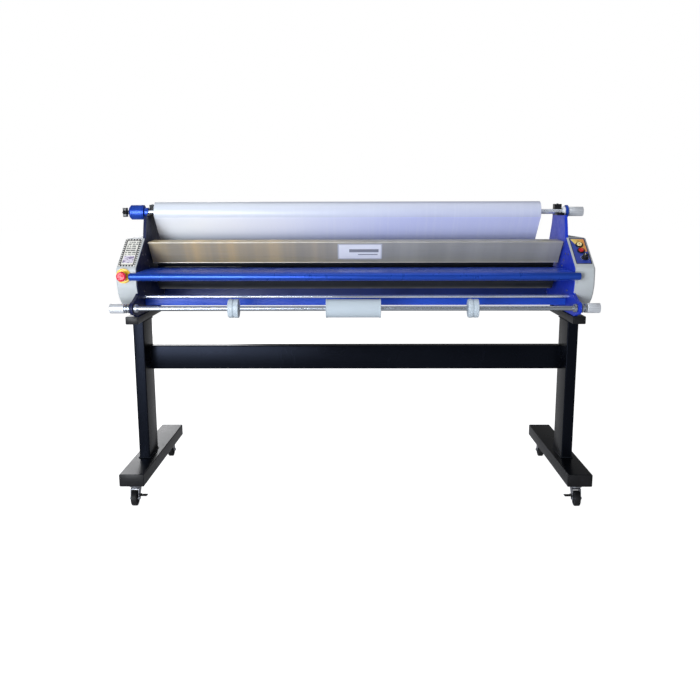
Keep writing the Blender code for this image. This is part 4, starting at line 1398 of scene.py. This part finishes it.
@dataclass
class Supply:
    """The supply shaft with its film, saddles, tension brake and grip."""

    shop: Workshop
    body: str = "supply_reel"
    bore: float = 0.0113

    def build(self) -> None:
        """Makes the reel, the web and what holds them."""
        self.centre = self.shop.centre("supply_spin")
        self.shaft()
        self.roll()
        self.web()
        for side in Side:
            self.saddle(side)
        self.brake()
        self.right_end()

    def turned(self, name: str, profile: Sequence[Point], finish: Finish, slot: str, stands_for: Sequence[str] = (),
               ring: bool = True, steps: int = ROUND) -> None:
        """A turned piece of the reel, its profile in X and radius."""
        bm = turn(profile, self.axis_point(), steps=steps, ring=ring)
        self.shop.piece(name, bm, finish, self.body, slot, stands_for)

    def axis_point(self) -> Place:
        """The point on the reel's axis at the machine's middle."""
        return (0.0, self.centre.y, self.centre.z)

    def shaft(self) -> None:
        """The chromed shaft."""
        low, high, r = round_box("supply_shaft")
        profile = [(low.x, r - 0.001), (low.x + 0.001, r), (high.x - 0.001, r), (high.x, r - 0.001)]
        self.turned("supply_shaft_bar", profile, CHROME, "chrome_rod", ["supply_shaft"], ring=False)

    def roll(self) -> None:
        """The wound film, its cardboard core and the two core plugs."""
        low, high, r = round_box("film_roll")
        core_out, core_in = 0.0410, 0.0383
        left, right = low.x, high.x
        rim = [(left, core_out + 0.0001), (left, r - 0.0006), (left + 0.0006, r)]
        self.turned("film_winding", mirrored(rim, (left + right) / 2), WOUND_FILM, "film_white", ["film_roll"],
                    steps=FINE_ROUND)
        inner = [(left + 0.0005, core_in), (left + 0.0005, core_out)]
        self.turned("film_core", mirrored(inner, (left + right) / 2), CARD, "film_white")
        for start, way, word in ((left + 0.001, 1, "left"), (right - 0.001, -1, "right")):
            face, deep = start + way * 0.003, start + way * 0.045
            plug = [(start, self.bore), (start, 0.0170), (face, 0.0180), (face, 0.0330), (start, 0.0345),
                    (start, 0.0378), (deep, 0.0375), (deep, self.bore)]
            self.turned("core_plug_" + word, plug, BLACK_NYLON, "black_nylon")

    def web(self) -> None:
        """The film's free run from the roll to the guide rod, as one thin sheet."""
        low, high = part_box("film_web")
        rod = self.shop.centre("film_guide_spin")
        clear = 0.0006
        roll_r, rod_r = 0.044 + clear, 0.012 + clear
        start = Vector((self.centre.y, self.centre.z))
        finish = Vector((rod.y, rod.z))
        span = finish - start
        heading = math.atan2(span.y, span.x) + math.asin((roll_r + rod_r) / span.length)
        leaving = math.degrees(heading) - 90
        path = arc(tuple(start), roll_r, leaving - 12, leaving, 4)
        path += arc(tuple(finish), rod_r, leaving + 180, leaving + 40, 14)
        bm = bmesh.new()
        verts = [bm.verts.new((low.x, y, z)) for y, z in path]
        edges = [bm.edges.new(pair) for pair in zip(verts, verts[1:])]
        swept = bmesh.ops.extrude_edge_only(bm, edges=edges)
        across = [part for part in swept["geom"] if isinstance(part, bmesh.types.BMVert)]
        bmesh.ops.translate(bm, vec=(high.x - low.x, 0.0, 0.0), verts=across)
        bmesh.ops.recalc_face_normals(bm, faces=bm.faces)
        bmesh.ops.solidify(bm, geom=bm.faces[:], thickness=0.0003)
        bmesh.ops.recalc_face_normals(bm, faces=bm.faces)
        sheet = self.shop.piece("film_web_sheet", bm, FILM, "frame", "film_white", ["film_web"])

    def saddle(self, side: Side) -> None:
        """A nylon saddle for the shaft, with its slot and two screws.

        Args:
            side: The machine's side.
        """
        node = side.word + "_shaft_saddle"
        low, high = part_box(node)
        slot = arc((self.centre.y, self.centre.z), self.bore, 210, 360, 20)
        outline = [(low.y, slot[0][1])] + slot
        outline += [(self.centre.y + self.bore, high.z), (high.y, high.z), (high.y, low.z), (low.y, low.z)]
        bm = prism(outline, low.x, high.x, 0.0010, 3)
        self.shop.piece(node + "_body", bm, BLACK_NYLON, "frame", "black_nylon", [node])
        x = (low.x + high.x) / 2
        seats = [(low.y + 0.012, slot[0][1]), (high.y - 0.014, high.z)]
        heads = [socket_screw(0.0045, 0.0028, (x, y, z), Vector((0, 0, 1))) for y, z in seats]
        self.shop.hardware(node + "_screws", heads)

    def brake(self) -> None:
        """The blue tension hub with its grooves, and the star knob that tightens it."""
        low, high, r = round_box("tension_hub")
        bore = self.bore
        x = low.x
        profile = [(x, bore), (x, 0.0240), (x + 0.0022, 0.0262), (x + 0.0075, r)]
        for groove in (0.0120, 0.0560):
            profile += [(x + groove, r), (x + groove + 0.0006, r - 0.0009), (x + groove + 0.0016, r - 0.0009),
                        (x + groove + 0.0022, r)]
        profile += [(-0.9185, r), (-0.9170, r - 0.0015), (-0.9170, 0.0200), (high.x, 0.0200), (high.x, bore)]
        self.turned("tension_hub_body", profile, HUB_BLUE, "anodised_blue", ["tension_hub"], steps=FINE_ROUND)
        face = []
        for angle in (0.5, 0.5 + math.tau / 3, 0.5 + 2 * math.tau / 3):
            seat = (x, self.centre.y + 0.018 * math.cos(angle), self.centre.z + 0.018 * math.sin(angle))
            face.append(socket_screw(0.0024, 0.0014, seat, Vector((-1, 0, 0))))
        self.shop.hardware("tension_hub_screws", face, self.body)
        low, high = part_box("tension_knob")
        lobes = lobed(0.0225, 0.0085, 6, 0.8, 18)
        star = soft_bar(lobes, low.x, low.x + 0.017, self.centre, 0.0050, 5)
        boss = turn([(low.x - 0.0004, 0.0070), (low.x + 0.0006, 0.0080), (low.x + 0.003, 0.0082)],
                    self.axis_point(), steps=32)
        neck = turn([(low.x + 0.0165, 0.0115), (-0.9910, 0.0105), (-0.9895, 0.0095), (-0.9895, 0.0050),
                     (-0.966, 0.0050)], self.axis_point(), steps=32)
        self.shop.piece("tension_star_knob", gather([star, boss, neck]), BLACK_GLOSS, "tension_screw",
                        "black_nylon", ["tension_knob"])

    def right_end(self) -> None:
        """The white ring, blue flange and fluted grip on the shaft's right end."""
        bore = self.bore
        self.turned("supply_nylon_ring", [(0.8997, bore), (0.8997, 0.0205), (0.9012, 0.0222), (0.9085, 0.0222),
                                          (0.9097, 0.0210), (0.9097, bore)], WHITE_NYLON, "grey_plastic")
        low, high, r = round_box("supply_flange")
        self.turned("supply_flange_disc", [(low.x, bore), (low.x, r - 0.0012), (low.x + 0.0012, r),
                                           (high.x - 0.0012, r), (high.x, r - 0.0012), (high.x, bore)],
                    HUB_BLUE, "anodised_blue", ["supply_flange"], steps=FINE_ROUND)
        grip = fluted_grip("supply_knob", self.centre)
        self.shop.piece("supply_fluted_grip", grip, ALLOY, self.body, "turned_alloy", ["supply_knob"])


# ---------------------------------------------------------------- lower front shaft


@dataclass
class TakeUp:
    """The lower front shaft with its collars, grips, core holders and sleeve."""

    shop: Workshop
    body: str = "take_up_reel"
    bore: float = 0.0108

    def build(self) -> None:
        """Makes the shaft and all that is on it."""
        self.centre = self.shop.centre("take_up_spin")
        self.shaft()
        self.grips()
        self.holder("left", "left_core_clamp")
        self.holder("right", "right_core_clamp")
        self.sleeve()

    def turned(self, profile: Sequence[Point], ring: bool = True, steps: int = ROUND) -> bmesh.types.BMesh:
        """A body turned about the shaft's axis, its profile in X and radius."""
        return turn(profile, (0.0, self.centre.y, self.centre.z), steps=steps, ring=ring)

    def shaft(self) -> None:
        """The steel shaft with its grooved collars."""
        r = 0.010
        half = [(-0.955, r - 0.0008), (-0.9542, r), (-0.921, r)]
        for start in (-0.921, -0.9095):
            half += [(start, 0.0172), (start + 0.0012, 0.0185), (start + 0.0066, 0.0185), (start + 0.0078, 0.0172),
                     (start + 0.008, 0.013), (start + 0.0112, 0.013)]
        half += [(-0.8985, 0.013), (-0.8985, r), (-0.8835, r), (-0.8835, 0.0150), (-0.8822, 0.0165),
                 (-0.8713, 0.0165), (-0.870, 0.0150), (-0.870, r)]
        shaft = self.turned(mirrored(half), ring=False)
        self.shop.piece("take_up_shaft_bar", shaft, SHAFT_STEEL, self.body, "chrome_rod", ["take_up_shaft"])

    def grips(self) -> None:
        """The plain left grip and the fluted right one."""
        low, high, r = round_box("take_up_knob_left")
        plain = [(high.x, r - 0.0012), (high.x - 0.0012, r), (low.x + 0.003, r),
                 (low.x + 0.0010, r - 0.0014), (low.x, r - 0.0034), (low.x, 0.004), (low.x + 0.0015, 0.003),
                 (low.x + 0.0015, 0.0)]
        self.shop.piece("take_up_plain_grip", self.turned(plain, ring=False), ALLOY, self.body, "turned_alloy",
                        ["take_up_knob_left"])
        grip = fluted_grip("take_up_knob_right", self.centre)
        self.shop.piece("take_up_fluted_grip", grip, ALLOY, self.body, "turned_alloy", ["take_up_knob_right"])

    def holder(self, word: str, body: str) -> None:
        """A two-part core holder with its clamp screw.

        Args:
            word: "left" or "right".
            body: The body that it rides on.
        """
        node = "core_holder_" + word
        low, high, r = round_box(node)
        bore = self.bore
        middle = (low.x + high.x) / 2
        halves = []
        for a, b in ((low.x, middle - 0.0006), (middle + 0.0006, high.x)):
            halves.append(self.turned([(a, bore), (a, r - 0.0035), (a + 0.0025, r - 0.0006), (a + 0.004, r),
                                       (b - 0.0015, r), (b, r - 0.0015), (b, bore)]))
        halves.append(self.turned([(middle - 0.001, bore), (middle - 0.001, r - 0.003), (middle + 0.001, r - 0.003),
                                   (middle + 0.001, bore)]))
        self.shop.piece(node + "_body", gather(halves), GREY_PLASTIC, body, "grey_plastic", [node])
        seat = (middle - 0.009, self.centre.y, self.centre.z + r - 0.0006)
        screw = socket_screw(0.0040, 0.0030, seat, Vector((0, 0, 1)))
        self.shop.hardware(node + "_screw", [screw], body)

    def sleeve(self) -> None:
        """The centre sleeve with a rim at each end."""
        low, high, r = round_box("centre_sleeve")
        left = low.x
        rim = [(left, self.bore), (left, 0.030), (left + 0.0015, 0.0315), (left + 0.0015, 0.034), (left, 0.0352),
               (left, r - 0.0008), (left + 0.0008, r), (left + 0.0052, r), (left + 0.0062, r - 0.0014)]
        profile = mirrored(rim, (low.x + high.x) / 2)
        self.shop.piece("centre_sleeve_body", self.turned(profile, steps=FINE_ROUND), GREY_PLASTIC, self.body,
                        "grey_plastic", ["centre_sleeve"])


# ---------------------------------------------------------------- controls


@dataclass
class Controls:
    """The emergency stop, control panel, instruction sheet and mains inlet."""

    shop: Workshop
    slope_top: Point = (-0.048, 1.078)
    slope_foot: Point = (-0.205, 0.968)
    button_x: float = 0.931
    knob_top: float = 0.0190

    def build(self) -> None:
        """Makes everything that the operator touches or reads."""
        self.instructions()
        self.panel()
        self.buttons()
        self.speed_knob()
        self.emergency_stop()
        self.inlet()

    def on_slope(self, x: float, down: float, lift: float = 0.0) -> Matrix:
        """A frame on the covers' slope: X across, Y up the slope, Z out of it."""
        return leaning(self.slope_top, self.slope_foot, x, down, lift)

    def instructions(self) -> None:
        """The instruction sheet on the left cover."""
        sheet = rounded_slab(0.070, 0.178, 0.0004, 0.003)
        self.shop.piece("instruction_sheet", moved(sheet, self.on_slope(-0.9300, 0.0945, 0.0001)),
                        InstructionPrint("instruction_print"), "frame", "cream_paint")

    def panel(self) -> None:
        """The control panel's overlay on the right cover."""
        sheet = rounded_slab(0.064, 0.168, 0.0005, 0.002)
        self.shop.piece("panel_overlay", moved(sheet, self.on_slope(0.9290, 0.0890, 0.0001)),
                        PanelPrint("panel_print"), "frame", "blue_paint")

    def ring(self, name: str, place: Matrix, inner: float, outer: float, height: float) -> None:
        """A bezel round a control.

        Args:
            name: The piece's name.
            place: The control's frame on the slope.
            inner: Its bore's radius.
            outer: Its outer radius.
            height: Its height over the slope.
        """
        profile = [(0.0004, inner), (0.0004, outer), (height * 0.6, outer), (height, outer - 0.0012),
                   (height, inner + 0.0004)]
        bm = turn(profile, place.translation, steps=48, ring=True, way=facing(place))
        self.shop.piece(name, bm, BLACK_GLOSS, "frame", "control_black")

    def cap(self, node: str, name: str, place: Matrix, body: str, finish: Finish, slot: str) -> None:
        """A button's cap, slightly dished.

        Args:
            node: The node that it stands for.
            name: The piece's name.
            place: The button's frame on the slope.
            body: The body that it rides on.
            finish: Its finish.
            slot: The record's material slot.
        """
        r = 0.0108
        profile = [(0.0041, r), (0.0072, r), (0.0086, r - 0.0006), (0.0090, r - 0.0018), (0.0082, r - 0.0040),
                   (0.0078, 0.0010)]
        bm = turn(profile, place.translation, steps=48, way=facing(place))
        self.shop.piece(name, bm, finish, body, slot, [node])

    def buttons(self) -> None:
        """The run and stop buttons in their bezels."""
        for node, body, down, finish, slot in (
            ("run_button", "run_cap", 0.052, BUTTON_CREAM, "button_cream"),
            ("stop_button", "stop_cap", 0.090, BUTTON_RED, "stop_red"),
        ):
            place = self.on_slope(self.button_x, down)
            self.cap(node, node + "_cap", place, body, finish, slot)
            self.ring(node + "_bezel", place, 0.0113, 0.0160, 0.0062)
        run = self.on_slope(self.button_x, 0.052)
        mark = turn([(0.0080, 0.0030), (0.0084, 0.0030)], run.translation, steps=24, way=facing(run))
        self.shop.piece("run_button_dot", mark, BUTTON_RED, "run_cap", "stop_red")
        arrow = rounded_slab(0.010, 0.003, 0.0003, 0.0008)
        self.shop.piece("panel_bar_mark", moved(arrow, self.on_slope(self.button_x, 0.024, 0.0007)),
                        BLACK_GLOSS, "frame", "control_black")

    def speed_knob(self) -> None:
        """The skirted speed knob, its pointer and the dial's ring of marks."""
        place = self.on_slope(0.938, 0.136)
        skirt = turn([(0.0012, 0.0148), (0.0030, 0.0148), (0.0050, 0.0138), (0.0058, 0.0120)], place.translation,
                     steps=48, way=facing(place))
        grip = prism(lobed(0.0108, 0.0006, 16), 0.0050, self.knob_top)
        rim = [e for e in grip.edges if all(abs(v.co.x - self.knob_top) < NEAR for v in e.verts)]
        round_edges(grip, rim, 0.0012, 3)
        turn_up = Matrix.Rotation(-math.pi / 2, 4, "Y")
        moved(grip, place @ turn_up)
        self.shop.piece("speed_knob_grip", gather([skirt, grip]), BLACK_GLOSS, "speed_dial", "control_black",
                        ["speed_knob"])
        pointer = rounded_slab(0.0022, 0.0100, 0.0005, 0.0008)
        moved(pointer, place @ Matrix.Translation((0.0, 0.0045, self.knob_top)))
        self.shop.piece("speed_knob_pointer", pointer, POINTER_WHITE, "speed_dial", "button_cream")
        marks = []
        for i in range(11):
            spoke = rounded_slab(0.0009, 0.0026, 0.0002, 0.0003)
            turn_by = Matrix.Rotation(math.radians(135 - 27 * i), 4, "Z")
            marks.append(moved(spoke, place @ turn_by @ Matrix.Translation((0.0, 0.0175, 0.0006))))
        self.shop.piece("speed_dial_marks", gather(marks), POINTER_WHITE, "frame", "button_cream")

    def emergency_stop(self) -> None:
        """The yellow base and the red mushroom head."""
        low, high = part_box("emergency_stop_ring")
        x, z = (low.x + high.x) / 2, (low.z + high.z) / 2
        face = high.y + 0.0003
        way = Vector((0, -1, 0))
        base = [(0.0004, 0.0122), (0.0004, 0.0300), (0.0028, 0.0300), (0.0044, 0.0285), (0.0044, 0.0160),
                (0.0060, 0.0150), (0.0060, 0.0122)]
        self.shop.piece("emergency_stop_base", turn(base, (x, face, z), ring=True, way=way),
                        STOP_YELLOW, "frame", "stop_yellow", ["emergency_stop_ring"])
        head = [(0.0046, 0.0104), (0.0180, 0.0104), (0.0200, 0.0135), (0.0262, 0.0165), (0.0280, 0.0192),
                (0.0310, 0.0200), (0.0370, 0.0200), (0.0405, 0.0188), (0.0422, 0.0160), (0.0430, 0.0110),
                (0.0424, 0.0090), (0.0424, 0.0010)]
        self.shop.piece("emergency_stop_head", turn(head, (x, face, z), way=way),
                        STOP_RED, "stop_head", "stop_red", ["emergency_stop_button"])

    def inlet(self) -> None:
        """The mains inlet with its three pins."""
        self.shop.dress_node("power_inlet", BLACK_NYLON)
        low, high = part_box("power_inlet")
        x, z = (low.x + high.x) / 2, (low.z + high.z) / 2
        pins = []
        for across, up in ((-0.007, -0.002), (0.007, -0.002), (0.0, 0.003)):
            pins.append(block((x + across - 0.002, low.y + 0.003, z + up - 0.0009),
                              (x + across + 0.002, high.y - 0.001, z + up + 0.0009), 0.0004, 2))
        self.shop.hardware("inlet_pins", pins)


# ---------------------------------------------------------------- studio


@dataclass
class Studio:
    """Floor, light and camera."""

    eye: Vector = field(default_factory=lambda: Vector((0.0047, -3.4306, 1.2314)))
    lens: float = 40.94
    turn: float = 0.0081
    tilt: float = 0.1850
    roll: float = -0.0022
    ambient: float = 0.16

    def build(self) -> None:
        """Sets the stage."""
        self.floor()
        self.sky()
        self.lights()
        self.camera()
        bpy.context.scene.view_settings.view_transform = "Standard"

    def floor(self) -> None:
        """A wide pale floor."""
        bm = bmesh.new()
        bmesh.ops.create_grid(bm, x_segments=1, y_segments=1, size=30.0)
        mesh = bpy.data.meshes.new("studio_floor")
        bm.to_mesh(mesh)
        bm.free()
        mesh.materials.append(FloorFinish("studio_floor").material())
        floor = bpy.data.objects.new("studio_floor", mesh)
        bpy.context.scene.collection.objects.link(floor)

    def sky(self) -> None:
        """White behind the machine, and a softer ambient light on it."""
        world = bpy.data.worlds.new("studio")
        graph = Graph(world, "Background")
        seen = graph.node("ShaderNodeLightPath", output="Is Camera Ray")
        graph.surface(Color=(1.0, 1.0, 1.0, 1.0), Strength=graph.spread(seen, 0.0, 1.0, self.ambient, 1.0))
        bpy.context.scene.world = world

    def lights(self) -> None:
        """A large key light on the left, weaker ones on the right, above and behind."""
        self.area("key_light", (-2.9, -5.0, 1.7), (-0.3, 0.0, 0.8), 2.4, 245.0, (0.90, 0.95, 1.0))
        self.area("low_light", (-1.5, -4.2, 0.15), (-0.2, 0.0, 1.0), 1.6, 100.0, (0.92, 0.95, 1.0))
        self.area("fill_light", (2.8, -4.0, 1.2), (0.2, 0.0, 0.8), 2.4, 7.0)
        self.area("rear_light", (-2.2, 4.2, 1.9), (0.0, 0.0, 0.8), 2.4, 60.0)
        self.area("top_light", (0.0, -0.4, 3.6), (0.0, 0.0, 0.8), 3.0, 28.0)

    def area(self, name: str, place: Place, target: Place, size: float, power: float,
             tint: Colour = (1.0, 1.0, 1.0)) -> None:
        """Adds a square softbox.

        Args:
            name: Its name.
            place: Where it stands.
            target: What it faces.
            size: The length of its sides.
            power: Its power in watts.
            tint: Its colour.
        """
        data = bpy.data.lights.new(name, "AREA")
        data.shape = "SQUARE"
        data.size = size
        data.energy = power
        data.color = tint
        lamp = bpy.data.objects.new(name, data)
        lamp.location = place
        lamp.rotation_euler = (Vector(target) - Vector(place)).to_track_quat("-Z", "Y").to_euler()
        bpy.context.scene.collection.objects.link(lamp)

    def camera(self) -> None:
        """The camera, a little above the machine and square on to it."""
        data = bpy.data.cameras.new("camera")
        data.sensor_width = 36.0
        data.lens = self.lens
        camera = bpy.data.objects.new("camera", data)
        aim = Matrix.Rotation(self.turn, 4, "Z") @ Matrix.Rotation(math.pi / 2 - self.tilt, 4, "X")
        camera.matrix_world = Matrix.Translation(self.eye) @ aim @ Matrix.Rotation(self.roll, 4, "Z")
        bpy.context.scene.collection.objects.link(camera)
        bpy.context.scene.camera = camera


def main() -> None:
    """Loads the frame, sets the stage, builds every sub-assembly and logs how many pieces it made."""
    logging.basicConfig(level=logging.INFO, format="%(name)s: %(message)s")
    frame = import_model()
    Studio().build()
    shop = Workshop(frame["nodes"], {joint["name"]: joint for joint in frame["joints"]})
    Stand(shop).build()
    for end in ("front", "rear"):
        for side in Side:
            Caster(shop, "%s_%s" % (end, side.word)).build()
    MachineFrame(shop).build()
    Rollers(shop).build()
    Supply(shop).build()
    TakeUp(shop).build()
    Controls(shop).build()
    LOG.info("%d pieces made", shop.made)


if __name__ == "__main__":
    main()
